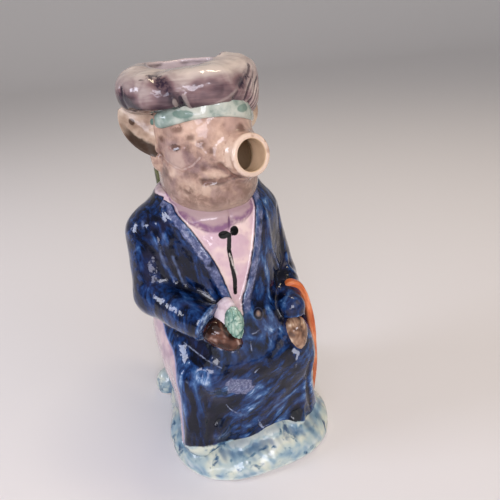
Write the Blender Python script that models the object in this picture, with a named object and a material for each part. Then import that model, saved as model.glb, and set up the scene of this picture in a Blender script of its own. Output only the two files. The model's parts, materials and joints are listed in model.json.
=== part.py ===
"""Pig-shaped jug: a seated pig in a coat and a soft cap, slip cast in one piece and glazed.

The figure is hollow. It fills through the mouth in the crown of the cap, pours through the snout
and is held by the loop handle at its back. Lengths are metres, +Z is up, the origin is the centre
of the underside and the pig's chest faces -Y. Angles round the figure start at -Y and grow
towards +X, so the head, which looks over its own left shoulder, is turned by HEAD_TURN.
"""

import math

import bpy
import numpy as np

# Walls, openings and fittings
FIGURE_HEIGHT = 0.265
WALL = 0.0042
FLOOR_THICKNESS = 0.007
MOUTH_WIDTH = 0.044
MOUTH_DEPTH = 0.040
SPOUT_BORE = 0.0184
SPOUT_WALL = 0.0034
SPOUT_REACH = 0.0115
HANDLE_WIDTH = 0.017
HANDLE_THICKNESS = 0.0115
FINGER_GAP = 0.027
BASE_WIDTH = 0.121
BASE_DEPTH = 0.126
BASE_HEIGHT = 0.013
REAR_FOOT_WIDTH = 0.020
REAR_FOOT_HEIGHT = 0.020
REAR_FOOT_INSET = 0.0115
REAR_FOOT_CLEARANCE = 0.0006
RIBBON_HEIGHT = 0.0115
RIBBON_THICKNESS = 0.0024
EAR_THICKNESS = 0.0042
EAR_WIDTH = 0.0165

# From here on the figure's pose and carving are in shares, 265 to its height
SHARE = FIGURE_HEIGHT / 265
HEAD_TURN = math.radians(11)
SPOUT_RISE = math.radians(9)

# The trunk, from the seat to the collar, as level ovals: height, centre across, centre back,
# half width, reach to the front, reach to the back and squareness
TRUNK_OVALS = np.array(
    [
        [0, -2, 2, 49, 48, 50, 2.6],
        [14, -2, 2, 49, 48, 50, 2.6],
        [40, -2, 4, 50, 50, 48, 2.6],
        [66, -3, 6, 53, 54, 46, 2.6],
        [84, -3, 8, 54, 57, 44, 2.5],
        [96, -5, 10, 51, 53, 42, 2.4],
        [110, -6, 13, 43, 48, 40, 2.3],
        [128, -7, 15, 40, 44, 40, 2.2],
        [150, -8, 16, 42, 41, 40, 2.2],
        [168, -8, 16, 42, 36, 38, 2.2],
        [175, -8, 15.5, 39, 35, 38, 2.1],
        [181, -8, 14.5, 36, 27, 38, 2.0],
        [187, -8, 14, 34, 21, 37, 2.0],
    ]
)
TRUNK_TOP = TRUNK_OVALS[-1, 0]

# Heights and places across of the coat's two front edges, from where they meet up to the neck
LAPEL_HEIGHTS = np.array([124, 149, 171, 186])
RIGHT_LAPEL = np.array([-11.0, -18.5, -29.5, -39.0])
LEFT_LAPEL = np.array([-4.5, 7.5, 13.8, 15.0])
LAPEL_STEP = 1.6
LAPEL_ROLL = 0.9
BELLY_CREASE = 2.6

# Egg-shaped forms: centre and the three half lengths
RIGHT_KNEE = ((-30, -26, 78), (21, 24, 19))
LEFT_KNEE = ((27, -24, 70), (20, 21, 20))
LUMPS = {
    "posy": ((-15, -43, 117), (8, 8, 12)),
    "left_trotter": ((30, -36, 88), (6.5, 6.5, 12)),
    "right_shoe": ((-31, -42, 35), (8, 8, 8)),
    "left_shoe": ((25, -42, 20), (9, 9, 8)),
}

# Round limbs and folds: stops along the middle line with the radius at each
RIGHT_UPPER_ARM = [(-46, 16, 158, 19), (-52, 3, 121, 15)]
LEFT_UPPER_ARM = [(23, 16, 160, 17), (37, 9, 113, 13)]
RIGHT_SKIRT_FOLD = [(-41, -33, 72, 12), (-40, -31, 22, 15)]
LEFT_SKIRT_FOLD = [(31, -27, 62, 14), (31, -25, 18, 17)]
LIMBS = {
    "right_forearm": [(-52, 4, 120, 14), (-44, -16, 118, 13), (-34, -33, 116.5, 11.5), (-26, -42, 116, 12)],
    "right_trotter": [(-30, -41, 115, 8), (-22, -46, 109, 7.5), (-11, -48, 101, 5)],
    "left_forearm": [(38, 10, 112, 12), (34, -10, 110, 10), (30, -33, 107, 8.5)],
}

# The strap over the left forearm, which hangs down the flank to the base
STRAP = [
    (29, -19, 111, 4),
    (37, -19, 113.5, 4),
    (44.5, -17, 105, 4),
    (49, -13, 89, 4),
    (51.5, -10, 62, 4),
    (53.5, -10, 34, 4),
    (52, -10, 12, 4),
]
STRAP_FLATNESS = 1.5

# The barrel-shaped head, the snout that swells from it and the ribbon round it
HEAD_CENTRE = (-7, 12, 205)
HEAD_WIDE = 31
HEAD_LONG = 34
HEAD_DROP = 32
HEAD_RISE = 50
HEAD_SQUARENESS = 4.5
SNOUT_STOUT = 24
SNOUT_SLIM = 13
SPOUT_ROOT = (5.6, -20, 210.5)
RIBBON_LOW = 229
RIBBON_ARCH = 9

# The cap: a puffy roll round the filling mouth
CAP_CENTRE = (-13, 21, 249)
CAP_RADIUS = 43
CAP_BROW = 3
CAP_ROLL = 19
CAP_FULLNESS = 0.82
CAP_UNDERSIDE = 229.5
CAP_BROW_LIFT = 7.5
CAP_CROWN = 261
CAP_PEAK = 4.5
CAP_HOLLOW = 15

# The base's side, from the foot up: how far it is drawn in, and its level as a share of the height
BASE_PROFILE = [(2.2, 0), (0.4, 0.16), (0, 0.42), (1.2, 0.74), (5.0, 0.95), (14.0, 1.1)]
BASE_ROUNDNESS = 2.7
BASE_WAIST = 6.5

# How finely the faces follow the form
BODY_COLUMNS = 48
BODY_ROWS = 33
HEAD_COLUMNS = 32
HEAD_ROWS = 10
CAP_COLUMNS = 36
CAP_ROWS = 10
CAVITY_COLUMNS = 24
CAVITY_ROWS = (10, 6, 5)
SPOUT_SIDES = 24
EAR_SIDES = 8
EAR_RINGS = 7
LIMB_SIDES = 10
LIMB_RINGS = 9
STRAP_RINGS = 10
HANDLE_RINGS = 18
LUMP_ROWS = 6
FRONT_CROWDING = 0.45


def at(x, y, z):
    """A point of the figure, given in shares."""
    return np.array([x, y, z]) * SHARE


def eased(x, knots, values):
    """A smooth line through the knots: cubic pieces whose slopes are those of their neighbours."""
    slopes = np.gradient(values, knots)
    index = np.clip(np.searchsorted(knots, x) - 1, 0, len(knots) - 2)
    width = knots[index + 1] - knots[index]
    t = np.clip((x - knots[index]) / width, 0, 1)
    rise = values[index + 1] - values[index]
    bend_in = slopes[index] * width - rise
    bend_out = rise - slopes[index + 1] * width
    return values[index] + rise * t + t * (1 - t) * ((1 - t) * bend_in + t * bend_out)


def step(x, start, end):
    """0 before start, 1 after end and an S curve between."""
    t = np.clip((x - start) / (end - start), 0, 1)
    return t * t * (3 - 2 * t)


def angle_from(turn, middle):
    """How far each angle is from the middle one, the short way round."""
    return np.angle(np.exp(1j * (turn - middle)))


def join(first, second, softness):
    """The nearer of two distances, with the crease between them filled softly."""
    soft = softness * SHARE
    blend = np.clip(0.5 + 0.5 * (second - first) / soft, 0, 1)
    return second + (first - second) * blend - soft * blend * (1 - blend)


def egg(points, form):
    """Distance to an egg-shaped form, given by its centre and half lengths."""
    radii = at(*form[1])
    shape = (points - at(*form[0])) / radii
    near = np.sqrt((shape**2).sum(-1))
    slope = np.sqrt(((shape / radii) ** 2).sum(-1))
    return near * (near - 1) / slope


def limb(points, stops):
    """Distance to a round limb that tapers from its first stop to its last."""
    start, end = at(*stops[0][:3]), at(*stops[-1][:3])
    along = end - start
    offset = points - start
    t = np.clip(offset @ along / (along @ along), 0, 1)
    gap = offset - t[..., None] * along
    radius = stops[0][3] + (stops[-1][3] - stops[0][3]) * t
    return np.sqrt((gap**2).sum(-1)) - radius * SHARE


def trunk_oval(height):
    """Centre, half width, front and back reach and squareness of the trunk at these heights."""
    z = np.clip(height / SHARE, 0, TRUNK_TOP)
    columns = [eased(z, TRUNK_OVALS[:, 0], TRUNK_OVALS[:, k]) for k in range(1, 7)]
    return [column * SHARE for column in columns[:5]] + [columns[5]]


def coat_relief(points):
    """How far the coat stands out over the shirt, and the crease under the belly."""
    x, y, z = (points[..., k] / SHARE for k in range(3))
    right = eased(z, LAPEL_HEIGHTS, RIGHT_LAPEL)
    left = eased(z, LAPEL_HEIGHTS, LEFT_LAPEL)
    inside = step(x, right - 1.5, right + 1.5) * step(-x, -left - 1.5, -left + 1.5)
    open_front = inside * step(z, 119, 127) * step(-y, -8, 0)
    rolled = np.exp(-(((x - right + 4) / 3.5) ** 2)) * step(z, 122, 132) * step(-y, -8, 0)
    crease_height = 81 + 0.012 * (x + 8) ** 2
    crease = np.exp(-(((z - crease_height) / 3.0) ** 2)) * step(-y, 20, 34)
    return (LAPEL_ROLL * rolled - LAPEL_STEP * open_front - BELLY_CREASE * crease) * SHARE


def trunk(points):
    """Distance to the trunk with its coat, cut off level inside the collar."""
    centre_x, centre_y, half_width, front, back, squareness = trunk_oval(points[..., 2])
    across = points[..., 0] - centre_x
    depth = points[..., 1] - centre_y
    reach = np.where(depth < 0, front, back)
    oval = (np.abs(across / half_width) ** squareness + np.abs(depth / reach) ** squareness) ** (
        1 / squareness
    )
    side = np.hypot(across, depth) * (1 - 1 / oval) - coat_relief(points)
    return np.maximum(side, points[..., 2] - TRUNK_TOP * SHARE)


def lap(points):
    """Distance to the knees and the folds of the skirt."""
    knees = join(egg(points, RIGHT_KNEE), egg(points, LEFT_KNEE), 6)
    folds = join(limb(points, RIGHT_SKIRT_FOLD), limb(points, LEFT_SKIRT_FOLD), 4)
    return join(knees, folds, 8)


def body(points):
    """Distance to the figure from the seat to the collar, with its upper arms."""
    arms = np.minimum(limb(points, RIGHT_UPPER_ARM), limb(points, LEFT_UPPER_ARM))
    return join(join(trunk(points), lap(points), 7), arms, 12)


def facing():
    """The level way that the head looks, and the way across it, to its own left."""
    ahead = np.array([math.sin(HEAD_TURN), -math.cos(HEAD_TURN), 0])
    across = np.array([math.cos(HEAD_TURN), math.sin(HEAD_TURN), 0])
    return ahead, across


def spout_point(distance):
    """A point on the snout's axis, this far out from the face."""
    way = facing()[0] * math.cos(SPOUT_RISE) + np.array([0, 0, math.sin(SPOUT_RISE)])
    return at(*SPOUT_ROOT) + way * distance


def head(points):
    """Distance to the barrel-shaped head with the swelling of the snout."""
    ahead, across = facing()
    offset = points - at(*HEAD_CENTRE)
    plan = np.hypot(offset @ across / HEAD_WIDE, offset @ ahead / HEAD_LONG) / SHARE
    rise = np.where(offset[..., 2] < 0, -offset[..., 2] / HEAD_DROP, offset[..., 2] / HEAD_RISE) / SHARE
    form = (plan**HEAD_SQUARENESS + rise**HEAD_SQUARENESS) ** (1 / HEAD_SQUARENESS)
    skull = np.sqrt((offset**2).sum(-1)) * (1 - 1 / form)
    snout_end = spout_point(-WALL) / SHARE
    snout = limb(points, [(*HEAD_CENTRE, SNOUT_STOUT), (*snout_end, SNOUT_SLIM)])
    return join(skull, snout, 9)


def cap_outline(turn):
    """Outer radius, underside height and crown height of the cap at each angle round it."""
    puffs = 0.7 * np.sin(5 * turn + 0.6) + 0.5 * np.sin(8 * turn)
    brow = np.clip(np.cos(turn + 0.1), 0, 1) ** 1.3
    radius = CAP_RADIUS + CAP_BROW * brow + puffs
    underside = CAP_UNDERSIDE + CAP_BROW_LIFT * brow - 2 * np.sin(turn)
    peak = np.exp(-((angle_from(turn, math.radians(68)) / 0.62) ** 2))
    dip = np.exp(-((angle_from(turn, math.radians(-35)) / 0.5) ** 2))
    crown = CAP_CROWN + CAP_PEAK * peak - 1.5 * dip + 0.5 * np.sin(3 * turn)
    return radius * SHARE, underside * SHARE, crown * SHARE


def ribbon_height(turn):
    """Height of the ribbon's middle line: high over the brow and low at the back of the head."""
    off_brow = angle_from(turn, math.radians(-15)) / math.radians(50)
    return (RIBBON_LOW + RIBBON_ARCH * np.exp(-(off_brow**2))) * SHARE


def hollow(points):
    """Distance to the hollow inside: the form drawn in by the wall, and the mouth in the cap."""
    inner_cap = egg(points, (CAP_CENTRE, (CAP_RADIUS, CAP_RADIUS, CAP_HOLLOW)))
    form = join(join(trunk(points), lap(points), 7), head(points), 6)
    inside = join(form, inner_cap, 4) + WALL
    mouth_floor = (FIGURE_HEIGHT - MOUTH_DEPTH) / SHARE
    mouth_radius = MOUTH_WIDTH / 2 / SHARE
    mouth = limb(
        points,
        [
            (CAP_CENTRE[0], CAP_CENTRE[1], mouth_floor, mouth_radius),
            (CAP_CENTRE[0], CAP_CENTRE[1], 2 * mouth_floor, mouth_radius),
        ],
    )
    return join(inside, mouth, 2)


def heading(turn):
    """Level unit vectors at these angles round the figure."""
    return np.stack([np.sin(turn), -np.cos(turn), np.zeros_like(turn)], -1)


def turns(columns, crowding=0.0):
    """Angles once round, closer together at the front by the crowding."""
    even = np.arange(columns) / columns * math.tau
    return even - crowding * np.sin(even)


def edge_of(field, origins, ways, first_crossing=False, samples=90, halvings=12):
    """Where rays from the origins leave the field's surface, for the last or the first time.

    Each ray is sampled at even steps, and the step that holds the crossing is then halved.
    """
    distances = np.linspace(0.1, 100, samples) * SHARE
    inside = field(origins[..., None, :] + distances[:, None] * ways[..., None, :]) < 0
    if first_crossing:
        index = np.argmax(~inside, -1) - 1
    else:
        index = samples - 1 - np.argmax(inside[..., ::-1], -1)
    low = distances[np.clip(index, 0, samples - 2)]
    high = low + distances[1] - distances[0]
    for _ in range(halvings):
        middle = (low + high) / 2
        within = field(origins + middle[..., None] * ways) < 0
        low = np.where(within, middle, low)
        high = np.where(within, high, middle)
    return origins + low[..., None] * ways


def triangles_between(lower, upper):
    """Two triangles for each cell between rings of point numbers."""
    lower_next = np.roll(lower, -1, 1)
    upper_next = np.roll(upper, -1, 1)
    halves = [
        np.stack([lower, lower_next, upper_next], -1),
        np.stack([lower, upper_next, upper], -1),
    ]
    return np.concatenate([half.reshape(-1, 3) for half in halves])


def closed_mesh(name, rings, first_point, last_point):
    """A mesh over rings of points, each end drawn together to one point."""
    rows, columns = rings.shape[:2]
    points = np.concatenate([rings.reshape(-1, 3), [first_point, last_point]])
    grid = np.arange(rows * columns).reshape(rows, columns)
    beside = np.roll(grid, -1, 1)
    first = np.stack([beside[0], grid[0], np.full(columns, rows * columns)], -1)
    last = np.stack([grid[-1], beside[-1], np.full(columns, rows * columns + 1)], -1)
    triangles = np.concatenate([triangles_between(grid[:-1], grid[1:]), first, last])
    mesh = bpy.data.meshes.new(name)
    mesh.from_pydata(points.tolist(), [], triangles.tolist())
    mesh.shade_smooth()
    return mesh


def body_mesh():
    """The figure from inside the base up to inside the head, as rings of crossings."""
    heights = np.linspace(0.3 * BASE_HEIGHT, (TRUNK_TOP - 0.5) * SHARE, BODY_ROWS)
    centre_x, centre_y = trunk_oval(heights)[:2]
    axis = np.stack([centre_x, centre_y, heights], -1)[:, None]
    axis, ways = np.broadcast_arrays(axis, heading(turns(BODY_COLUMNS, FRONT_CROWDING))[None])
    return closed_mesh("body", edge_of(body, axis, ways), axis[0, 0], axis[-1, 0])


def base_outline(turn, inset):
    """The base's plan: a rounded square, drawn in a little at the flanks towards the back."""
    way = heading(turn)
    across = np.abs(way[:, 0] / (BASE_WIDTH / 2)) ** BASE_ROUNDNESS
    deep = np.abs(way[:, 1] / (BASE_DEPTH / 2)) ** BASE_ROUNDNESS
    size = (across + deep) ** (-1 / BASE_ROUNDNESS)
    waist = BASE_WAIST * SHARE * np.exp(-(((np.abs(turn) - math.radians(111)) / 0.38) ** 2))
    return way * (size - waist - inset)[:, None]


def base_mesh():
    """The mound under the figure: a small foot, a bulging side and a rounded shoulder."""
    turn = angle_from(turns(BODY_COLUMNS), 0)
    swell = 1 + 0.25 * np.sin(3 * turn + 0.8) + 0.15 * np.sin(7 * turn)
    rings = []
    for inset, level in BASE_PROFILE:
        ring = base_outline(turn, inset * SHARE)
        ring[:, 2] = level * BASE_HEIGHT * (swell if level > 0.5 else 1)
        rings.append(ring)
    top = np.array([0, 0, BASE_PROFILE[-1][1] * BASE_HEIGHT])
    return closed_mesh("base", np.array(rings), np.zeros(3), top)


def head_mesh():
    """The head with its ribbon, from inside the collar up to inside the cap."""
    turn = turns(HEAD_COLUMNS) + HEAD_TURN
    low = np.full(HEAD_COLUMNS, (HEAD_CENTRE[2] - 0.985 * HEAD_DROP) * SHARE)
    ribbon_low = ribbon_height(turn) - RIBBON_HEIGHT / 2
    ribbon_high = ribbon_height(turn) + RIBBON_HEIGHT / 2
    bevel = RIBBON_THICKNESS / 2
    levels = [low + (ribbon_low - low) * share**0.9 for share in np.linspace(0, 1, HEAD_ROWS)]
    levels += [ribbon_low + bevel, ribbon_high - bevel, ribbon_high]
    levels += [np.full(HEAD_COLUMNS, (HEAD_CENTRE[2] + 41) * SHARE)]
    stands_out = np.zeros(len(levels))
    stands_out[HEAD_ROWS : HEAD_ROWS + 2] = RIBBON_THICKNESS
    heights = np.array(levels)
    axis = at(*HEAD_CENTRE[:2], 0) + heights[..., None] * np.array([0, 0, 1])
    ways = np.broadcast_to(heading(turn)[None], axis.shape)
    rings = edge_of(head, axis, ways) + stands_out[:, None, None] * ways
    return closed_mesh("head", rings, axis[0, 0], axis[-1, 0])


def cap_mesh():
    """The cap: a round roll of cloth carried once round, closed below and over the crown."""
    turn = turns(CAP_COLUMNS)
    radius, underside, crown = cap_outline(turn)
    middle = (underside + crown) / 2
    half = (crown - underside) / 2
    roll = CAP_ROLL * SHARE
    rings = []
    for angle in np.linspace(-math.pi / 2, math.pi / 2, CAP_ROWS):
        out = radius - roll + roll * max(math.cos(angle), 0) ** CAP_FULLNESS
        ring = at(*CAP_CENTRE[:2], 0) + heading(turn) * out[:, None]
        ring[:, 2] = middle + half * math.copysign(abs(math.sin(angle)) ** CAP_FULLNESS, angle)
        rings.append(ring)
    ends = [at(*CAP_CENTRE[:2], ring[:, 2].mean() / SHARE) for ring in (rings[0], rings[-1])]
    return closed_mesh("cap", np.array(rings), *ends)


def spout_wheel():
    """Unit vectors across the snout's axis, once round."""
    across = facing()[1]
    upward = np.cross(spout_point(1) - spout_point(0), across)
    turn = turns(SPOUT_SIDES)[:, None]
    return across * np.cos(turn) + upward * np.sin(turn)


def spout_mesh():
    """The snout's tube, turned about its axis, with a flared root and a rounded lip."""
    outer = SPOUT_BORE / 2 + SPOUT_WALL
    lip = SPOUT_WALL / 3
    profile = [
        (-2 * WALL, outer * 0.9),
        (-WALL / 2, outer * 1.07),
        (SPOUT_REACH * 0.4, outer),
        (SPOUT_REACH - lip, outer),
        (SPOUT_REACH, outer - lip),
    ]
    rings = [spout_point(distance) + radius * spout_wheel() for distance, radius in profile]
    return closed_mesh("spout", np.array(rings), spout_point(-2 * WALL), spout_point(SPOUT_REACH))


def bore_mesh():
    """The round hole through the snout into the hollow of the head."""
    ends = [spout_point(-HEAD_LONG * SHARE / 2), spout_point(SPOUT_REACH + WALL)]
    rings = [end + spout_wheel() * SPOUT_BORE / 2 for end in ends]
    return closed_mesh("bore", np.array(rings), *ends)


def ear_mesh(name, side, span):
    """A cupped leaf from the side of the head up to the cap; side is -1 right and 1 left."""
    ahead, across = facing()
    outward = across * side
    centre = at(*HEAD_CENTRE)
    root = centre + (outward * 27 - ahead * 3 + np.array([0, 0, 10])) * SHARE
    tip = centre + (outward * span - ahead * 16 + np.array([0, 0, 34])) * SHARE
    along = tip - root
    broad = np.cross(along, ahead) * side
    broad = broad / np.linalg.norm(broad)
    around = turns(EAR_SIDES)[:, None] * side
    rings = []
    for share in np.linspace(0, 0.97, EAR_RINGS):
        fullness = 0.05 + 0.95 * math.sin(math.pi * (0.3 + 0.7 * share)) ** 0.7
        middle = root + along * share + broad * 1.5 * SHARE * math.sin(math.pi * share)
        cup = ahead * 3 * SHARE * np.cos(around) ** 2
        thick = ahead * EAR_THICKNESS / 2 * np.sin(around)
        rings.append(middle + broad * fullness * EAR_WIDTH / 2 * np.cos(around) + cup + thick)
    if side < 0:
        rings = [ring[::-1] for ring in rings]
    return closed_mesh(name, np.array(rings), root, tip)


def curve_through(stops, count):
    """Points on a smooth line through the stops, and how far along it each one is."""
    places = stops[:, :3]
    knots = np.concatenate([[0], np.cumsum(np.linalg.norm(np.diff(places, axis=0), axis=1))])
    share = (1 - np.cos(np.linspace(0.12, math.pi - 0.12, count))) / 2
    far = knots[-1] * share
    return np.stack([eased(far, knots, stops[:, k]) for k in range(stops.shape[1])], -1), far, knots[-1]


def tube_mesh(name, stops, wide, count, flatness=1.0):
    """A round or oval bar along a smooth line through the stops, with domed ends.

    Each stop is a place and a half width, wide is the way that the half width runs, and flatness
    is the thickness for each unit of width.
    """
    line, far, length = curve_through(stops, count)
    half = line[:, 3]
    to_end = np.minimum(far, length - far)
    dome = np.sqrt(1 - np.clip(1 - to_end / half, 0, 1) ** 2)
    along = np.gradient(line[:, :3], axis=0)
    deep = np.cross(along, wide)
    deep = deep / np.linalg.norm(deep, axis=1)[:, None]
    side = np.cross(deep, along)
    side = side / np.linalg.norm(side, axis=1)[:, None]
    turn = turns(LIMB_SIDES)
    width = (half * dome)[:, None, None]
    section = side[:, None] * np.cos(turn)[:, None] + deep[:, None] * np.sin(turn)[:, None] * flatness
    return closed_mesh(name, line[:, None, :3] + section * width, stops[0, :3], stops[-1, :3])


def limb_mesh(name, stops, rings=LIMB_RINGS, flatness=1.0):
    """A limb in shares, with its sections turned across the way it runs least."""
    places = np.array(stops) * SHARE
    least = np.argmin(np.abs(places[-1, :3] - places[0, :3]))
    return tube_mesh(name, places, np.eye(3)[least], rings, flatness)


def handle_mesh():
    """The loop handle: an oval section carried from the cap down to the small of the back."""
    ahead, across = facing()
    upper = TRUNK_OVALS[:, 0] >= RIGHT_UPPER_ARM[1][2]
    back = (TRUNK_OVALS[upper, 2] + TRUNK_OVALS[upper, 5]).max() - HEAD_CENTRE[1]
    loop = back * SHARE + FINGER_GAP + HANDLE_THICKNESS / 2
    root = (back - 9) * SHARE
    profile = [(root, 240), (loop * 0.82, 237), (loop, 212), (loop, 172), (loop * 0.8, 124), (root, 104)]
    stops = [
        (*(at(*HEAD_CENTRE[:2], height) - ahead * distance), HANDLE_WIDTH / 2)
        for distance, height in profile
    ]
    return tube_mesh("handle", np.array(stops), across, HANDLE_RINGS, HANDLE_THICKNESS / HANDLE_WIDTH)


def lump_mesh(name, centre, radii):
    """An egg-shaped form as level rings, flat where it would reach the table."""
    rings = []
    for angle in np.linspace(-1.35, 1.35, LUMP_ROWS):
        ring = centre + heading(turns(LIMB_SIDES)) * math.cos(angle) * radii
        ring[:, 2] = max(centre[2] + math.sin(angle) * radii[2], REAR_FOOT_CLEARANCE)
        rings.append(ring)
    low = np.array([centre[0], centre[1], rings[0][0, 2]])
    high = np.array([centre[0], centre[1], centre[2] + radii[2]])
    return closed_mesh(name, np.array(rings), low, high)


def rear_foot_mesh(name, side):
    """The lump at a back corner of the base; side is -1 right and 1 left."""
    half = REAR_FOOT_WIDTH / 2
    rise = 0.65 * REAR_FOOT_HEIGHT
    across = side * (BASE_WIDTH / 2 - REAR_FOOT_INSET)
    centre = np.array([across, BASE_DEPTH / 2 - REAR_FOOT_INSET, REAR_FOOT_HEIGHT - rise])
    return lump_mesh(name, centre, np.array([half, half, rise]))


def cavity_mesh():
    """The hollow from above the floor up through the cap, as rings about the middle line."""
    cap_middle = CAP_CENTRE[2] * SHARE
    mouth_root = (CAP_CENTRE[2] + CAP_HOLLOW) * SHARE - WALL
    stretches = [
        np.linspace(FLOOR_THICKNESS, (TRUNK_TOP - 6) * SHARE, CAVITY_ROWS[0]),
        np.linspace(TRUNK_TOP * SHARE, cap_middle, CAVITY_ROWS[1], endpoint=False),
        np.linspace(cap_middle, mouth_root, CAVITY_ROWS[2]),
        np.array([FIGURE_HEIGHT + WALL]),
    ]
    heights = np.concatenate(stretches)
    centre_x, centre_y = trunk_oval(heights)[:2]
    bend = step(heights / SHARE, HEAD_CENTRE[2], CAP_CENTRE[2])
    across = centre_x * (1 - bend) + CAP_CENTRE[0] * SHARE * bend
    deep = centre_y * (1 - bend) + CAP_CENTRE[1] * SHARE * bend
    axis = np.stack([across, deep, heights], -1)[:, None]
    axis, ways = np.broadcast_arrays(axis, heading(turns(CAVITY_COLUMNS))[None])
    rings = edge_of(hollow, axis, ways, first_crossing=True)
    return closed_mesh("cavity", rings, axis[0, 0], axis[-1, 0])


def add_object(mesh, name=None):
    """An object for the mesh; without a name of its own it is a helper that isn't rendered."""
    thing = bpy.data.objects.new(name or mesh.name, mesh)
    bpy.context.scene.collection.objects.link(thing)
    if name is None:
        thing.hide_render = True
        thing.display_type = "WIRE"
    return thing


def combine(target, mesh, operation):
    """Joins the mesh to the target, or cuts it away."""
    modifier = target.modifiers.new(f"{operation.lower()} {mesh.name}", "BOOLEAN")
    modifier.operation = operation
    modifier.object = add_object(mesh)
    modifier.solver = "EXACT"


def glazed_clay():
    """White earthenware painted mostly dark blue, under a clear glaze."""
    material = bpy.data.materials.new("painted_glazed_earthenware")
    material.use_nodes = True
    surface = material.node_tree.nodes["Principled BSDF"]
    surface.inputs["Base Color"].default_value = (0.05, 0.09, 0.22, 1)
    surface.inputs["Roughness"].default_value = 0.15
    surface.inputs["Metallic"].default_value = 0
    return material


def build():
    """One hollow solid: every form joined to the body, then the hollow and the bore cut out."""
    for thing in list(bpy.data.objects):
        bpy.data.objects.remove(thing, do_unlink=True)
    jug = add_object(body_mesh(), "pig_jug")
    jug.data.materials.append(glazed_clay())
    forms = [base_mesh(), head_mesh(), cap_mesh(), spout_mesh(), handle_mesh()]
    forms += [ear_mesh("right_ear", -1, 49), ear_mesh("left_ear", 1, 44)]
    forms += [limb_mesh(name, stops) for name, stops in LIMBS.items()]
    forms.append(limb_mesh("strap", STRAP, STRAP_RINGS, STRAP_FLATNESS))
    forms += [lump_mesh(name, at(*form[0]), at(*form[1])) for name, form in LUMPS.items()]
    forms += [rear_foot_mesh("right_rear_foot", -1), rear_foot_mesh("left_rear_foot", 1)]
    for form in forms:
        combine(jug, form, "UNION")
    combine(jug, cavity_mesh(), "DIFFERENCE")
    combine(jug, bore_mesh(), "DIFFERENCE")


build()
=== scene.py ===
"""Looks of the pig-shaped jug: painted, glazed earthenware, cast hollow.

Every piece is worked out with numpy in millimetres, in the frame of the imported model. The body and
the head are skins over a distance field, the other pieces are sections carried along a path. The
paint follows distances to lines and patches that each piece carries as attributes.
"""

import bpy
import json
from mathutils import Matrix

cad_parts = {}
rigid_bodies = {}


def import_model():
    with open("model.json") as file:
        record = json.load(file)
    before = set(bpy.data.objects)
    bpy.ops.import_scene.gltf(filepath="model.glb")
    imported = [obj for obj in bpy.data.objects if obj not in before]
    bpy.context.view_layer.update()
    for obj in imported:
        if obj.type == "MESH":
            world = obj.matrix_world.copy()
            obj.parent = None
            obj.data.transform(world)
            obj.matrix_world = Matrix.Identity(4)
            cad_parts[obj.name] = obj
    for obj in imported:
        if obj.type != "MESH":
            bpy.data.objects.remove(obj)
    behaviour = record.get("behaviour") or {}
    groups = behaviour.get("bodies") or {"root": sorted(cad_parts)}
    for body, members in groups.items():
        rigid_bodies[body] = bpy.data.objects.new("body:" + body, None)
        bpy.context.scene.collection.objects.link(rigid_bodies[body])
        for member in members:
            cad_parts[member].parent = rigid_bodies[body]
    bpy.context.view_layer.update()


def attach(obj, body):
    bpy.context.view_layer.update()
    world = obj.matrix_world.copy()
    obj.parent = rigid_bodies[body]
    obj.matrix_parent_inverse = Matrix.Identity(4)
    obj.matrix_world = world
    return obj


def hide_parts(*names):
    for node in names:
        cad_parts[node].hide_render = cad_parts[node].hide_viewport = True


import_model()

import json
import logging
import math
from dataclasses import dataclass
from enum import Enum
from typing import Callable

import bpy
import numpy as np
from mathutils import Matrix

LOG = logging.getLogger("pig_jug")
MM = 0.001
NODE = "pig_jug"
Array = np.ndarray
Object = bpy.types.Object
Material = bpy.types.Material
Socket = bpy.types.NodeSocket
Field = Callable[[Array], Array]
# Most triangles wanted in one piece; past it the body's hollow is thinned. A piece past
# about 200,000 triangles is thinned when it is exported
TRIANGLE_LIMIT = 195000

WALL = 4.2
FLOOR_THICKNESS = 7.0
BASE_WIDTH = 121.0
BASE_DEPTH = 126.0
MOUTH_RADIUS = 22.0
SPOUT_BORE = 18.4
SPOUT_WALL = 3.4
SPOUT_REACH = 11.5
HEAD_TURN = math.radians(11)
SPOUT_RISE = math.radians(9)
AHEAD = np.array([math.sin(HEAD_TURN), -math.cos(HEAD_TURN), 0.0])
ACROSS = np.array([math.cos(HEAD_TURN), math.sin(HEAD_TURN), 0.0])
SPOUT_WAY = AHEAD * math.cos(SPOUT_RISE) + np.array([0, 0, math.sin(SPOUT_RISE)])
SPOUT_ROOT = np.array([5.6, -20.0, 210.5])
HEAD_CENTRE = np.array([-7.0, 12.0, 205.0])
CAP_CENTRE = np.array([-13.0, 21.0, 249.0])


class Side(Enum):
    """The pig's own right or left."""

    RIGHT = -1
    LEFT = 1


def linear(colour: str) -> tuple[float, float, float, float]:
    """Turns an sRGB hex value into the linear colour that a socket takes.

    Args:
        colour: six hex digits after a hash sign.

    Returns:
        Red, green, blue and alpha.
    """
    parts = [int(colour[k : k + 2], 16) / 255 for k in (1, 3, 5)]
    light = [v / 12.92 if v <= 0.04045 else ((v + 0.055) / 1.055) ** 2.4 for v in parts]
    return (*light, 1.0)


def eased(x: Array, knots: Array, values: Array) -> Array:
    """A smooth line through the knots: cubic pieces whose slopes are those of their neighbours.

    Args:
        x: where to read the line.
        knots: places of the knots, rising.
        values: value at each knot.

    Returns:
        The line's value at each place.
    """
    slopes = np.gradient(values, knots)
    index = np.clip(np.searchsorted(knots, x) - 1, 0, len(knots) - 2)
    width = knots[index + 1] - knots[index]
    t = np.clip((x - knots[index]) / width, 0, 1)
    rise = values[index + 1] - values[index]
    bend_in = slopes[index] * width - rise
    bend_out = rise - slopes[index + 1] * width
    return values[index] + rise * t + t * (1 - t) * ((1 - t) * bend_in + t * bend_out)


def step(x: Array, start: float, end: float) -> Array:
    """0 before start, 1 after end and an S curve between."""
    t = np.clip((x - start) / (end - start), 0, 1)
    return t * t * (3 - 2 * t)


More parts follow.
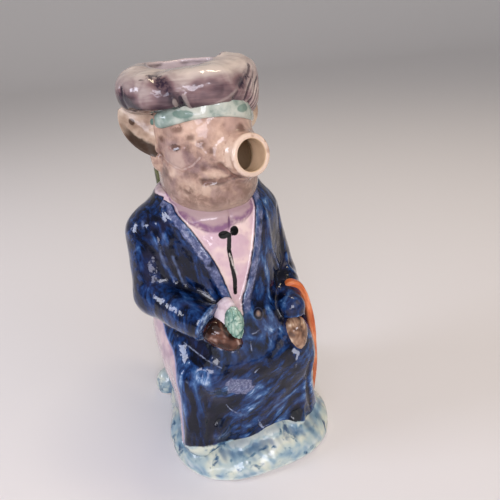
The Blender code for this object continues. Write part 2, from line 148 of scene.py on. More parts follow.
def bell(x: Array, width: float) -> Array:
    """1 at nought and falling away over the width, as a bell curve does."""
    return np.exp(-((x / width) ** 2))


def angle_from(turn: Array, degrees: float) -> Array:
    """How far each angle is from the one in degrees, the short way round."""
    return np.angle(np.exp(1j * (turn - math.radians(degrees))))


def join(first: Array, second: Array, soft: float) -> Array:
    """The nearer of two distances, with the crease between them filled over the soft width."""
    blend = np.clip(0.5 + 0.5 * (second - first) / soft, 0, 1)
    return second + (first - second) * blend - soft * blend * (1 - blend)


def cut(first: Array, away: Array, soft: float) -> Array:
    """The first distance with the other form taken out, and the edge rounded over the soft width."""
    return -join(-first, away, soft)


def ripple(points: Array, size: float, seed: int) -> Array:
    """Smooth unevenness from -1 to 1: seven waves of about the given length in seeded directions.

    Args:
        points: places, in mm.
        size: length of a wave, in mm.
        seed: number that fixes the draw.

    Returns:
        The unevenness at each place.
    """
    draw = np.random.default_rng(seed)
    ways = draw.normal(size=(7, 3))
    ways /= np.linalg.norm(ways, axis=1)[:, None] * size * draw.uniform(0.7, 1.4, (7, 1))
    phase = draw.uniform(0, math.tau, 7)
    return np.sin(points @ ways.T * math.tau + phase).sum(-1) / 4


def fuller(wave: Array, power: float) -> Array:
    """A wave from -1 to 1 made squarer by a power below 1, with its sign kept."""
    return np.sign(wave) * np.abs(wave) ** power


def heading(turn: Array) -> Array:
    """Level unit vectors at these angles, which start at the front and grow towards the left."""
    return np.stack([np.sin(turn), -np.cos(turn), np.zeros_like(turn)], -1)


def line_distance(points: Array, stops: Array) -> Array:
    """How far each point is from a line through the stops, as the nearest of its straight parts.

    Args:
        points: places, in mm.
        stops: places along the line, in mm.

    Returns:
        Distances, in mm.
    """
    nearest = np.full(points.shape[:-1], np.inf)
    for start, end in zip(stops[:-1], stops[1:]):
        along = end - start
        t = np.clip((points - start) @ along / (along @ along), 0, 1)
        gap = points - start - t[..., None] * along
        nearest = np.minimum(nearest, (gap**2).sum(-1))
    return np.sqrt(nearest)


def nearest_line(points: Array, lines: list) -> Array:
    """Distance to the nearest of several lines."""
    return np.min([line_distance(points, np.array(stops)) for stops in lines], 0)


def dabbed(points: Array, dabs: list) -> Array:
    """Sum of bell-shaped dabs, each a row with its centre, width and strength.

    Args:
        points: places, in mm.
        dabs: rows of five numbers.

    Returns:
        The sum at each place.
    """
    rows = np.array(dabs)
    gap = np.linalg.norm(points[:, None] - rows[:, :3], axis=-1)
    return (bell(gap / rows[:, 3], 1.0) * rows[:, 4]).sum(-1)


def patch_distance(across: Array, up: Array, outline: Array) -> Array:
    """Distance to a patch with a closed outline in one plane, less than nought inside it.

    The sign comes from how often a level line out of the point crosses the outline.

    Args:
        across: places across the plane, in mm.
        up: places up the plane, in mm.
        outline: corners of the outline, as place across and up.

    Returns:
        Distances, in mm.
    """
    points = np.stack([across, up, np.zeros_like(up)], -1)
    closed = np.concatenate([outline, outline[:1]])
    flat = np.concatenate([closed, np.zeros((len(closed), 1))], 1)
    inside = np.zeros(up.shape, bool)
    for (x0, z0), (x1, z1) in zip(closed[:-1], closed[1:]):
        spans = (z0 > up) != (z1 > up)
        slope = (x1 - x0) / (z1 - z0) if z1 != z0 else 0.0
        inside ^= spans & (across < x0 + (up - z0) * slope)
    far = line_distance(points, flat)
    return np.where(inside, -far, far)


@dataclass(frozen=True)
class Egg:
    """An egg-shaped form with a centre and three half lengths."""

    centre: tuple[float, float, float]
    half: tuple[float, float, float]

    def distance(self, points: Array) -> Array:
        """The scaled radius less one, over its slope.

        Args:
            points: places, in mm.

        Returns:
            Distances, in mm.
        """
        radii = np.array(self.half)
        shape = (points - np.array(self.centre)) / radii
        near = np.sqrt((shape**2).sum(-1)) + 1e-9
        slope = np.sqrt(((shape / radii) ** 2).sum(-1)) + 1e-9
        return near * (near - 1) / slope

    def box(self) -> tuple[Array, Array]:
        """Lowest and highest corners."""
        return np.array(self.centre) - self.half, np.array(self.centre) + self.half


def nearest_egg(points: Array, eggs: list[Egg]) -> Array:
    """Distance to the nearest of several eggs."""
    return np.min([egg.distance(points) for egg in eggs], 0)


@dataclass(frozen=True)
class Limb:
    """A round limb along straight parts, with a radius at each stop."""

    stops: tuple[tuple[float, float, float, float], ...]

    def distance(self, points: Array) -> Array:
        """The nearest of the parts, each a tapered rod with round ends.

        Args:
            points: places, in mm.

        Returns:
            Distances, in mm.
        """
        nearest = np.full(points.shape[:-1], np.inf)
        for first, last in zip(self.stops[:-1], self.stops[1:]):
            start = np.array(first[:3])
            along = np.array(last[:3]) - start
            t = np.clip((points - start) @ along / (along @ along), 0, 1)
            gap = points - start - t[..., None] * along
            radius = first[3] + (last[3] - first[3]) * t
            nearest = np.minimum(nearest, np.sqrt((gap**2).sum(-1)) - radius)
        return nearest

    def box(self) -> tuple[Array, Array]:
        """Lowest and highest corners."""
        stops = np.array(self.stops)
        return (stops[:, :3] - stops[:, 3:]).min(0), (stops[:, :3] + stops[:, 3:]).max(0)


@dataclass(frozen=True)
class Sleeve:
    """A limb that ends in an open cuff, cut square to a direction."""

    limb: Limb
    end: tuple[float, float, float]
    way: tuple[float, float, float]
    ridge: float = 0.7
    ridge_width: float = 1.3
    rounding: float = 1.6

    def distance(self, points: Array) -> Array:
        """The limb without what lies past its end, and a low ridge round the cuff.

        Args:
            points: places, in mm.

        Returns:
            Distances, in mm.
        """
        past = (points - np.array(self.end)) @ (np.array(self.way) / np.linalg.norm(self.way))
        ridge = self.ridge * bell(past + self.rounding, self.ridge_width)
        return cut(self.limb.distance(points) - ridge, -past, self.rounding)

    def box(self) -> tuple[Array, Array]:
        """Lowest and highest corners."""
        return self.limb.box()


def add_form(points: Array, distance: Array, form: Egg | Limb | Sleeve, soft: float) -> Array:
    """Joins a form to a distance, working only on the points near the form.

    Args:
        points: places, in mm.
        distance: distance so far at each of them.
        form: the egg or limb to add.
        soft: width over which the crease is filled.

    Returns:
        The joined distance.
    """
    low, high = form.box()
    reach = soft + 9
    near = ((points > low - reach) & (points < high + reach)).all(-1)
    distance = distance.copy()
    distance[near] = join(distance[near], form.distance(points[near]), soft)
    return distance


@dataclass(frozen=True)
class Fold:
    """A ridge, or a groove where the height is negative, along a line on the surface."""

    stops: tuple[tuple[float, float, float], ...]
    width: float
    height: float

    def relief(self, points: Array) -> Array:
        """A bell curve across the line.

        Args:
            points: places, in mm.

        Returns:
            Heights, in mm.
        """
        stops = np.array(self.stops)
        reach = 2.6 * self.width
        near = ((points > stops.min(0) - reach) & (points < stops.max(0) + reach)).all(-1)
        out = np.zeros(points.shape[:-1])
        out[near] = self.height * bell(line_distance(points[near], stops), self.width)
        return out


class Skin:
    """A closed mesh over a distance field, made by surface nets.

    Space is sampled on a grid, finely only where the field is near nought. Each cell that the
    surface passes gets one point, the mean of its crossings, and each crossed grid edge gets one
    face between its four cells. The points are then drawn on to the field by Newton's step.
    """

    COARSE = 4
    BLOCK_REACH = 1.9
    BATCH = 250000
    PULLS = 2

    def __init__(self, field: Field, low: Array, high: Array, cell: float) -> None:
        """Builds points and faces.

        Args:
            field: distance at places in mm, less than nought inside.
            low: lowest corner of the space.
            high: highest corner.
            cell: grid spacing in mm.
        """
        self.field = field
        self.cell = cell
        self.low = np.asarray(low, float)
        blocks = np.ceil((np.asarray(high) - self.low) / (cell * self.COARSE)).astype(int)
        values = self._sample(blocks)
        self.points, self.faces = self._net(values)
        for _ in range(self.PULLS):
            self.points += self._pull()

    def _sample(self, blocks: Array) -> Array:
        """Field values on the grid; far from the surface each block keeps its corner's value.

        Args:
            blocks: count of blocks along each axis.

        Returns:
            The values, one for each grid point.
        """
        wide = self.cell * self.COARSE
        corner = np.stack(np.meshgrid(*[np.arange(n + 1) for n in blocks], indexing="ij"), -1)
        coarse = self.field(self.low + corner * wide)
        near = np.abs(coarse) < wide * self.BLOCK_REACH
        active = np.zeros(tuple(blocks), bool)
        for shift in np.ndindex(2, 2, 2):
            window = tuple(slice(s, s + n) for s, n in zip(shift, blocks))
            active |= near[window]
        values = coarse[:-1, :-1, :-1]
        for axis in range(3):
            values = np.repeat(values, self.COARSE, axis)
            active = np.repeat(active, self.COARSE, axis)
        values = values.astype(np.float32)
        places = np.argwhere(active)
        for part in np.array_split(places, max(1, len(places) // self.BATCH)):
            values[tuple(part.T)] = self.field(self.low + part * self.cell)
        return values

    def _net(self, values: Array) -> tuple[Array, Array]:
        """Points in the crossed cells and faces round the crossed edges.

        Args:
            values: field values on the grid.

        Returns:
            Places and faces.
        """
        inside = values < 0
        size = np.array(values.shape) - 1
        count = np.zeros(tuple(size), np.uint8)
        for shift in np.ndindex(2, 2, 2):
            count += inside[tuple(slice(s, s + n) for s, n in zip(shift, size))]
        mixed = (count > 0) & (count < 8)
        cells = np.argwhere(mixed)
        number = np.full(mixed.shape, -1, np.int64)
        number[mixed] = np.arange(len(cells))
        total = np.zeros((len(cells), 3))
        hits = np.zeros(len(cells))
        for axis in range(3):
            for shift in np.ndindex(2, 2):
                start = np.insert(np.array(shift), axis, 0)
                end = np.insert(np.array(shift), axis, 1)
                a = values[tuple((cells + start).T)]
                b = values[tuple((cells + end).T)]
                crossed = (a < 0) != (b < 0)
                share = np.where(crossed, a / np.where(crossed, a - b, 1), 0)
                place = cells + start + share[:, None] * (end - start)
                total += place * crossed[:, None]
                hits += crossed
        points = self.low + total / hits[:, None] * self.cell
        quads = []
        for axis in range(3):
            u, w = (axis + 1) % 3, (axis + 2) % 3
            ahead = np.roll(inside, -1, axis)
            change = inside != ahead
            edges = np.argwhere(change)
            fits = (edges[:, u] > 0) & (edges[:, w] > 0) & (edges[:, axis] < size[axis])
            fits &= (edges[:, u] < size[u]) & (edges[:, w] < size[w])
            edges = edges[fits]
            du, dw = np.eye(3, dtype=int)[u], np.eye(3, dtype=int)[w]
            around = [edges - du - dw, edges - dw, edges, edges - du]
            ring = np.stack([number[tuple(cell.T)] for cell in around], -1)
            leaving = inside[tuple(edges.T)]
            quads.append(np.where(leaving[:, None], ring, ring[:, ::-1]))
        return points, np.concatenate(quads)

    def slope(self, points: Array, gap: float = 0.15) -> tuple[Array, Array]:
        """The field and its slope, from steps along each axis."""
        here = self.field(points)
        return here, np.stack([self.field(points + gap * way) - here for way in np.eye(3)], -1) / gap

    def _pull(self) -> Array:
        """One Newton step towards the surface, at most half a cell long.

        Returns:
            The move of each point, in mm.
        """
        here, slope = self.slope(self.points)
        move = -(here / np.maximum((slope**2).sum(-1), 0.05))[:, None] * slope
        long = np.linalg.norm(move, axis=1)
        return move * np.minimum(1, 0.5 * self.cell / np.maximum(long, 1e-9))[:, None]

    def crest(self, reach: float) -> Array:
        """How far the form bulges over this reach: above nought on ridges, below it in creases."""
        sides = [self.field(self.points + s * reach * way) for way in np.eye(3) for s in (-1, 1)]
        return (sum(sides) - 6 * self.field(self.points)) / reach


def grid_faces(rows: int, columns: int) -> Array:
    """Four-cornered faces between neighbouring rings.

    Args:
        rows: count of rings.
        columns: count of places in each ring.

    Returns:
        Four point numbers for each face.
    """
    grid = np.arange(rows * columns).reshape(rows, columns)
    above, lower = grid[1:], grid[:-1]
    return np.stack([lower, np.roll(lower, -1, 1), np.roll(above, -1, 1), above], -1).reshape(-1, 4)


def capped(rings: Array) -> tuple[Array, Array]:
    """Points and faces over rings whose two ends are drawn together to their middles.

    Args:
        rings: rows x columns x 3 places.

    Returns:
        Points, and faces with -1 where a face has three corners.
    """
    rows, columns = rings.shape[:2]
    ends = np.stack([rings[0].mean(0), rings[-1].mean(0)])
    points = np.concatenate([rings.reshape(-1, 3), ends])
    around = np.arange(columns)
    beside = np.roll(around, -1)
    none = np.full(columns, -1)
    last = (rows - 1) * columns
    low = np.stack([beside, around, np.full(columns, rows * columns), none], -1)
    high = np.stack([last + around, last + beside, np.full(columns, rows * columns + 1), none], -1)
    return points, np.concatenate([grid_faces(rows, columns), low, high])


def enclosed(points: Array, faces: Array) -> float:
    """Volume inside closed faces, from the cone that each makes with the origin.

    Args:
        points: places, in mm.
        faces: corners of each face, with -1 for the fourth of a triangle.

    Returns:
        The volume, in cubic mm.
    """
    corner = points[faces]
    first = np.einsum("ij,ij->i", corner[:, 0], np.cross(corner[:, 1], corner[:, 2]))
    second = np.einsum("ij,ij->i", corner[:, 0], np.cross(corner[:, 2], corner[:, 3]))
    return float((first + np.where(faces[:, 3] >= 0, second, 0)).sum() / 6)


def make_piece(
    name: str,
    points: Array,
    faces: Array,
    finish: Material,
    paint: dict[str, Array] | None = None,
) -> Object:
    """Puts a surface into an object, turned outwards, with its paint attributes.

    Args:
        name: plain name of the piece.
        points: places in mm.
        faces: corners, with -1 for the fourth of a triangle.
        finish: its material.
        paint: values or vectors for each point, by attribute name.

    Returns:
        The object, riding on the jug in place of the CAD solid.
    """
    if enclosed(points, faces) < 0:
        three = faces[:, 3] < 0
        faces = np.where(three[:, None], faces[:, [1, 0, 2, 3]], faces[:, ::-1])
    held = faces >= 0
    starts = np.concatenate([[0], np.cumsum(held.sum(1))[:-1]])
    mesh = bpy.data.meshes.new(name)
    mesh.vertices.add(len(points))
    mesh.vertices.foreach_set("co", (points * MM).astype(np.float32).ravel())
    mesh.loops.add(int(held.sum()))
    mesh.loops.foreach_set("vertex_index", faces[held].astype(np.int32))
    mesh.polygons.add(len(faces))
    mesh.polygons.foreach_set("loop_start", starts.astype(np.int32))
    mesh.update(calc_edges=True)
    mesh.shade_smooth()
    for key, values in (paint or {}).items():
        flat = values.ndim == 1
        layer = mesh.attributes.new(key, "FLOAT" if flat else "FLOAT_VECTOR", "POINT")
        layer.data.foreach_set("value" if flat else "vector", values.astype(np.float32).ravel())
    mesh.materials.append(finish)
    piece = bpy.data.objects.new(name, mesh)
    bpy.context.scene.collection.objects.link(piece)
    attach(piece, "root")
    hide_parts(NODE)
    LOG.info("%s: %d faces", name, len(faces))
    return piece


def thinned(piece: Object, inner: Array, share: float) -> None:
    """Draws the faces of the hollow together, where nothing fine shows, to this share of them.

    Args:
        piece: the object.
        inner: which of its points line the hollow.
        share: part of the faces to keep.
    """
    group = piece.vertex_groups.new(name="hollow")
    group.add(np.flatnonzero(inner).tolist(), 1.0, "REPLACE")
    modifier = piece.modifiers.new("thin the hollow", "DECIMATE")
    modifier.ratio = share
    modifier.vertex_group = "hollow"
    graph = bpy.context.evaluated_depsgraph_get()
    mesh = bpy.data.meshes.new_from_object(piece.evaluated_get(graph))
    piece.modifiers.clear()
    piece.vertex_groups.clear()
    piece.data = mesh


class Clay:
    """The forms that several pieces share: trunk, lap, head and the hollow inside them."""

    OVALS = np.array(
        [
            [0, -2, 2, 49, 48, 50, 2.6],
            [14, -2, 2, 49, 48, 50, 2.6],
            [40, -2, 4, 50, 50, 48, 2.6],
            [66, -3, 6, 53, 54, 46, 2.6],
            [84, -3, 8, 54, 57, 44, 2.5],
            [96, -5, 10, 51, 53, 42, 2.4],
            [110, -6, 13, 43, 48, 40, 2.3],
            [128, -7, 15, 40, 44, 40, 2.2],
            [150, -8, 16, 42, 41, 40, 2.2],
            [168, -8, 16, 42, 36, 38, 2.2],
            [175, -8, 15.5, 39, 35, 38, 2.1],
            [181, -8, 14.5, 36, 27, 38, 2.0],
            [187, -8, 14, 34, 21, 37, 2.0],
        ]
    )
    TOP = 187.0
    CAP_HALF = (43, 43, 15)
    MOUTH_LOW = 225
    MOUTH_HIGH = 450
    KNEES = (Egg((-30, -26, 78), (21, 24, 19)), Egg((27, -24, 70), (20, 21, 20)))
    SKIRT = (Limb(((-41, -33, 72, 12), (-40, -31, 22, 15))), Limb(((31, -27, 62, 14), (31, -25, 18, 17))))

    @classmethod
    def trunk(cls, points: Array) -> Array:
        """Distance to the bare trunk: level ovals of changing reach and squareness.

        Each level is a superellipse, and a place is as far out as its reach less the oval's there.

        Args:
            points: places, in mm.

        Returns:
            Distances, in mm.
        """
        z = np.clip(points[..., 2], 0, cls.TOP)
        columns = [eased(z, cls.OVALS[:, 0], cls.OVALS[:, k]) for k in range(1, 7)]
        across = points[..., 0] - columns[0]
        depth = points[..., 1] - columns[1]
        reach = np.where(depth < 0, columns[3], columns[4])
        power = columns[5]
        oval = (np.abs(across / columns[2]) ** power + np.abs(depth / reach) ** power) ** (1 / power)
        return np.hypot(across, depth) * (1 - 1 / np.maximum(oval, 1e-6))

    @classmethod
    def lap(cls, points: Array) -> Array:
        """Distance to the knees and the folds of the skirt."""
        knees = join(*[knee.distance(points) for knee in cls.KNEES], 6)
        return join(knees, join(*[fold.distance(points) for fold in cls.SKIRT], 4), 8)

    @staticmethod
    def skull(points: Array) -> Array:
        """Distance to the barrel-shaped head with the swelling of the snout.

        The barrel is where an oval plan and the height, each to the same high power, add up to 1.

        Args:
            points: places, in mm.

        Returns:
            Distances, in mm.
        """
        offset = points - HEAD_CENTRE
        across = offset @ ACROSS
        wide = 31 - 3.4 * step(across, 0, 20) * step(offset[..., 2], 0, 12)
        plan = np.hypot(across / wide, offset @ AHEAD / 34)
        rise = np.where(offset[..., 2] < 0, -offset[..., 2] / 32, offset[..., 2] / 50)
        form = (plan**4.5 + rise**4.5) ** (1 / 4.5)
        barrel = np.sqrt((offset**2).sum(-1)) * (1 - 1 / np.maximum(form, 1e-6))
        tip = SPOUT_ROOT - SPOUT_WAY * WALL
        return join(barrel, Limb(((*HEAD_CENTRE, 24), (*tip, 13))).distance(points), 9)

    @classmethod
    def hollow(cls, points: Array) -> Array:
        """Distance to the hollow: the form drawn in by the wall, and the mouth in the cap.

        Args:
            points: places, in mm.

        Returns:
            Distances, in mm.
        """
        trunk = np.maximum(cls.trunk(points), points[..., 2] - cls.TOP)
        form = join(join(trunk, cls.lap(points), 7), cls.skull(points), 6)
        cap = Egg(tuple(CAP_CENTRE), cls.CAP_HALF).distance(points)
        inside = join(form, cap, 4) + WALL
        inside = np.maximum(inside, FLOOR_THICKNESS - points[..., 2])
        ends = [(*CAP_CENTRE[:2], height, MOUTH_RADIUS) for height in (cls.MOUTH_LOW, cls.MOUTH_HIGH)]
        return join(inside, Limb(tuple(ends)).distance(points), 2)

    @staticmethod
    def bore(points: Array) -> tuple[Array, Array]:
        """Distance along the snout's axis from its root, and out from the axis."""
        along = (points - SPOUT_ROOT) @ SPOUT_WAY
        return along, np.linalg.norm(points - SPOUT_ROOT - along[..., None] * SPOUT_WAY, axis=-1)


# The coat's front edges as height and place across, from the cord's end up to the neck
RIGHT_EDGE = np.array(
    [[110, -9.6], [122.3, -10.8], [134.3, -13.4], [147.8, -17.7], [158.7, -23.1], [169.4, -28.9],
     [176.9, -34.1], [183.4, -38.6], [186, -47], [190, -62]]
)
RIGHT_OUTER = np.array(
    [[110, -13.5], [122.2, -15.4], [130.1, -18.5], [138.1, -21.6], [145.1, -24.3], [158.4, -30.9],
     [169.7, -37.2], [180.4, -43.1], [186, -51], [190, -66]]
)
LEFT_EDGE = np.array(
    [[105, -5.2], [120.9, -4.4], [129.4, -0.2], [141.2, 4.4], [158.3, 10.3], [169.8, 13.2],
     [179.3, 14.5], [190, 15.5]]
)
COLLAR_LOW = np.array(
    [[-42, 184], [-36.6, 179.8], [-31, 174.2], [-25.9, 170.2], [-20.4, 166.8], [-12.2, 165],
     [-6, 166], [-2.8, 167.8], [6, 169], [11.5, 173], [16, 179]]
)
HEM = np.array(
    [[-180, 15], [-120, 15], [-90, 16], [-62, 18], [-52, 24], [-44, 25.5], [-38, 24], [-33, 22],
     [-24, 20.4], [-9, 19.4], [0, 19.8], [10, 20], [20, 20.5], [28, 22.5], [40, 16], [56, 12.5],
     [90, 14], [130, 15], [180, 15]]
)


def front_edge(edge: Array, z: Array) -> Array:
    """Place across of an edge at these heights."""
    return eased(z, edge[:, 0], edge[:, 1])


@dataclass
class Body:
    """The figure from the seat to the collar: coat, shirt, lap, sleeves and shoes."""

    cell: float = 1.06
    lapel_step: float = 1.5
    collar_step: float = 1.1
    right_roll: float = 1.1
    left_roll: float = 0.9
    foot_height: float = 1.0
    hollow_depth: float = -0.4
    lap_blend: float = 7.0
    arm_blend: float = 11.0
    sleeve_blends: tuple[float, float] = (5.0, 3.5)
    shoe_blend: float = 6.0
    relief_reach: float = 6.0
    collar_rounding: float = 4.0
    box: tuple = ((-70, -66, -1), (66, 62, 190))
    arms: tuple[Limb, ...] = (
        Limb(((-46, 16, 158, 19), (-52, 3, 121, 15))),
        Limb(((23, 16, 160, 17), (37, 9, 113, 13))),
    )
    sleeves: tuple[Sleeve, ...] = (
        Sleeve(Limb(((-52, 4, 120, 14), (-47, -8, 119.3, 13.5), (-41, -22, 118, 12.8), (-34, -34, 116.8, 12),
                     (-28, -41, 116, 11.6))), (-30.2, -40.8, 114.8), (0.62, -0.72, -0.3)),
        Sleeve(Limb(((38, 10, 112, 12), (36, -4, 111, 11), (33, -16, 109.5, 9.8), (30.5, -27, 108, 9.2),
                     (30, -31, 107.5, 9.0))), (30, -33, 100.4), (-0.05, -0.3, -0.95)),
    )
    shoes: tuple[Egg, ...] = (Egg((-31, -41, 35), (7, 6.6, 7)), Egg((25, -41, 20), (8, 8, 7)))
    folds: tuple[Fold, ...] = (
        Fold(((-50.5, -0.5, 169.8), (-48.5, -5.7, 160.6), (-46.2, -9.3, 145.8), (-42.2, -12, 135.6)),
             2.6, 0.9),
        Fold(((-45.8, -3.1, 171.4), (-43.7, -8.2, 163), (-39.7, -13.5, 146.3), (-36.9, -15.9, 132.1)),
             2.1, 0.7),
        Fold(((21.6, -10.9, 168.9), (22.8, -12.5, 158.1), (23.4, -13.6, 145.2), (30.1, -8.2, 126.7)),
             2.4, 0.8),
        Fold(((23.4, -13.6, 145.2), (27.1, -10, 135.2), (30.9, -8.2, 123.8)), 2.2, 0.6),
        Fold(((37.2, 3.5, 163), (36.2, -1.5, 142.7), (37.1, -3.2, 127.2), (33.4, -14.8, 119.1)), 2.6, -1.3),
        Fold(((40.5, -0.8, 129), (41, -8.7, 117.9)), 2.0, 0.9),
        Fold(((-44.2, -26.7, 97.9), (-39.2, -35, 95.1), (-34.1, -42.4, 91.8), (-26.2, -47.5, 86.5),
              (-20.1, -48.3, 81.9), (-13.5, -48.5, 79.1)), 3.6, -0.7),
        Fold(((14.9, -42.9, 90.4), (8, -46.1, 85.7), (2.8, -47.4, 82.2), (-5.1, -48.7, 76.6),
              (-9.7, -48.5, 70.8)), 3.0, -0.4),
        Fold(((-13.5, -48.5, 80), (-4, -48.8, 79.5)), 3.2, -0.7),
        Fold(((-39.3, -46.4, 83.6), (-37.9, -45.4, 61.8), (-36.6, -44.8, 46.6), (-39.2, -45.8, 27)),
             3.0, -1.6),
        Fold(((-49.7, -38.1, 80.9), (-50.9, -39.1, 65.6), (-50.4, -40.3, 51.4), (-51, -40.1, 38),
              (-52.9, -37.8, 23.8)), 2.0, 1.2),
        Fold(((-43.2, -38.9, 89.3), (-41.5, -43.3, 86.1), (-38.5, -48, 79.6)), 3.0, 1.2),
        Fold(((33.5, -41.7, 50), (32.2, -42, 32.4), (29.5, -49.2, 20.6)), 2.6, 1.2),
        Fold(((40.5, -38.5, 70), (38.2, -40.2, 56.4), (40.2, -38.3, 38.1), (48.2, -30.3, 15)), 2.4, 1.4),
        Fold(((36.2, -41.5, 66), (36.2, -41.2, 45), (38.5, -38, 22)), 2.0, -1.2),
        Fold(((10, -46.5, 62), (-2, -47, 52), (-12, -46, 44)), 3.2, 0.7),
        Fold(((16, -45.5, 52), (4, -46, 42), (-6, -46, 36)), 3.0, 0.6),
    )

    def relief(self, points: Array) -> Array:
        """How far the coat, its rolled edges and the collar stand out, and its folds and dents.

        Args:
            points: places, in mm.

        Returns:
            Heights, in mm.
        """
        x, y, z = points[..., 0], points[..., 1], points[..., 2]
        front = step(-y, -8, 2)
        right, left = front_edge(RIGHT_EDGE, z), front_edge(LEFT_EDGE, z)
        outer = front_edge(RIGHT_OUTER, z)
        open_front = step(x, right - 0.5, right + 0.5) * step(-x, -left - 0.5, -left + 0.5)
        open_front *= step(z, 117, 121) * front
        out = -self.lapel_step * open_front
        middle = (right + outer) / 2
        roll = np.exp(-(((x - middle) / (0.62 * (right - outer) + 0.4)) ** 4))
        out += self.right_roll * roll * step(z, 118, 126) * front
        out += self.left_roll * bell(x - left - 2.6, 2.6) * step(z, 112, 122) * front
        low = eased(x, COLLAR_LOW[:, 0], COLLAR_LOW[:, 1])
        collar = step(z, low - 0.8, low + 0.8) * open_front
        split = step(np.abs(x + 4.8 - 0.12 * (z - 170)), 0.3, 1.5)
        out += self.collar_step * collar * split
        for fold in self.folds:
            out += fold.relief(points)
        out += 0.25 * ripple(points, 26, 3) + 0.1 * ripple(points, 9, 5)
        return out

    def field(self, points: Array) -> Array:
        """Distance to the body with its hollow taken out.

        Args:
            points: places, in mm.

        Returns:
            Distances, in mm.
        """
        distance = join(Clay.trunk(points), Clay.lap(points), self.lap_blend)
        for arm in self.arms:
            distance = join(distance, arm.distance(points), self.arm_blend)
        for sleeve, soft in zip(self.sleeves, self.sleeve_blends):
            distance = add_form(points, distance, sleeve, soft)
        for shoe in self.shoes:
            distance = add_form(points, distance, shoe, self.shoe_blend)
        near = np.abs(distance) < self.relief_reach
        distance[near] -= self.relief(points[near])
        distance = cut(distance, Clay.TOP - points[..., 2], self.collar_rounding)
        distance = np.maximum(distance, self.foot_height - points[..., 2])
        return np.maximum(distance, -Clay.hollow(points))

    def paint(self, skin: Skin) -> dict[str, Array]:
        """Distances to the painted areas, in mm and less than nought inside each.

        Args:
            skin: the body's surface.

        Returns:
            Values and brush coordinates for each point, by attribute name.
        """
        points = skin.points
        x, y, z = points.T
        right, left = front_edge(RIGHT_EDGE, z), front_edge(LEFT_EDGE, z)
        outer = front_edge(RIGHT_OUTER, z)
        low = eased(x, COLLAR_LOW[:, 0], COLLAR_LOW[:, 1]) + 12 * step(-x, 35, 39)
        back = np.where(y > 4, 20.0, -20.0)
        shirt = np.maximum.reduce([0.88 * (right - x), 0.88 * (x - left), 112 - z, back])
        shirt = np.minimum(shirt, 185.2 - z)
        edge = np.maximum.reduce([0.88 * (outer - x), 0.88 * (x - right), 119 - z, back])
        left_edge = np.maximum.reduce([0.88 * (left - x), 0.88 * (x - left - 7), 112 - z, back])
        turn = np.degrees(np.arctan2(x + 2, -(y - 2)))
        hem = z - eased(turn, HEM[:, 0], HEM[:, 1])
        values = {
            "shirt": shirt,
            "lapel": np.minimum(edge, left_edge),
            "collar": low - z,
            "hem": hem,
            "lining": Clay.hollow(points) - 0.7,
            "crest": skin.crest(1.6),
            "broad_crest": skin.crest(4.0),
        }
        values.update(self._marks(points))
        values["tone"] = self._tone(points)
        values.update(self._brush(points, right, left))
        return values

    @staticmethod
    def _marks(points: Array) -> dict[str, Array]:
        """Lines and patches that are painted on the coat and the shirt.

        Args:
            points: places, in mm.

        Returns:
            Distances in mm, by attribute name.
        """
        x, y, z = points.T
        loops = [Egg((-9.6, -19.5, 162.8), (3.3, 4, 2.6)), Egg((-2.4, -18.9, 163.8), (2.8, 4, 3.1))]
        cord = [(-6, -20.3, 162.5), (-7.8, -22.5, 153.2), (-7.3, -24.6, 143.6), (-6.6, -26.2, 133.6),
                (-7.6, -28.6, 125.8)]
        glare = [(-8, -22.9, 151), (-6.4, -24.5, 143.5), (-4.6, -25.6, 137)]
        patch = np.array([(-25.2, 76.4), (-22.4, 78.7), (-14.7, 74.9), (-8, 71), (-5.6, 64.5), (-10.8, 60.8),
                          (-17.6, 62.3), (-23.5, 65.7)])
        border = eased(z, np.array([10.0, 23, 49.3, 69.1, 81.7, 91.6, 100.4, 112]),
                       np.array([-34.0, -35.4, -36.9, -37.7, -32.8, -21.4, -7.9, 4]))
        outer = eased(z, np.array([8.0, 12, 20, 42, 70, 94, 112]),
                      np.array([-27.0, -25, -18, -5, 12, 22, 27]))
        side = np.where(x > -30, 20.0, -20.0)
        pale = [
            [(-44.2, -26.7, 97.9), (-39.2, -35, 95.1), (-34.1, -42.4, 91.8), (-26.2, -47.5, 86.5)],
            [(14.9, -42.9, 90.4), (8, -46.1, 85.7), (2.8, -47.4, 82.2)],
            [(2.8, -47.4, 82.2), (-2, -48.4, 79), (-5.1, -48.7, 76.6)],
            [(-5.7, -45.9, 38.2), (-2.7, -45.9, 30.6), (1.5, -45.9, 19.4)],
            [(5.2, -45.8, 26.6), (-1.2, -45.9, 25.2), (-3.7, -45.9, 29.8)],
            [(-25, -44.8, 54.1), (-23.1, -44.7, 50.1), (-18.7, -45.1, 44.8), (-13.1, -45.8, 43.8),
             (-7.7, -46.2, 44.8)],
            [(-37, -44.9, 41.8), (-37.6, -45.5, 38.3), (-35.3, -48.6, 34.5), (-30.2, -49.4, 33.5)],
            [(-35.6, -29.4, 128.6), (-30.4, -36.3, 127), (-24.7, -37.7, 122.5)],
            [(-2.3, -40.4, 100.5), (0.5, -40.2, 100.6), (4.2, -39.6, 102)],
            [(-5.2, -45.5, 91.5), (-4.3, -42.8, 97)],
            [(22, -34.3, 100.9), (28.3, -29.5, 99.8), (36.2, -27.2, 95.5), (41.9, -26.2, 89)],
        ]
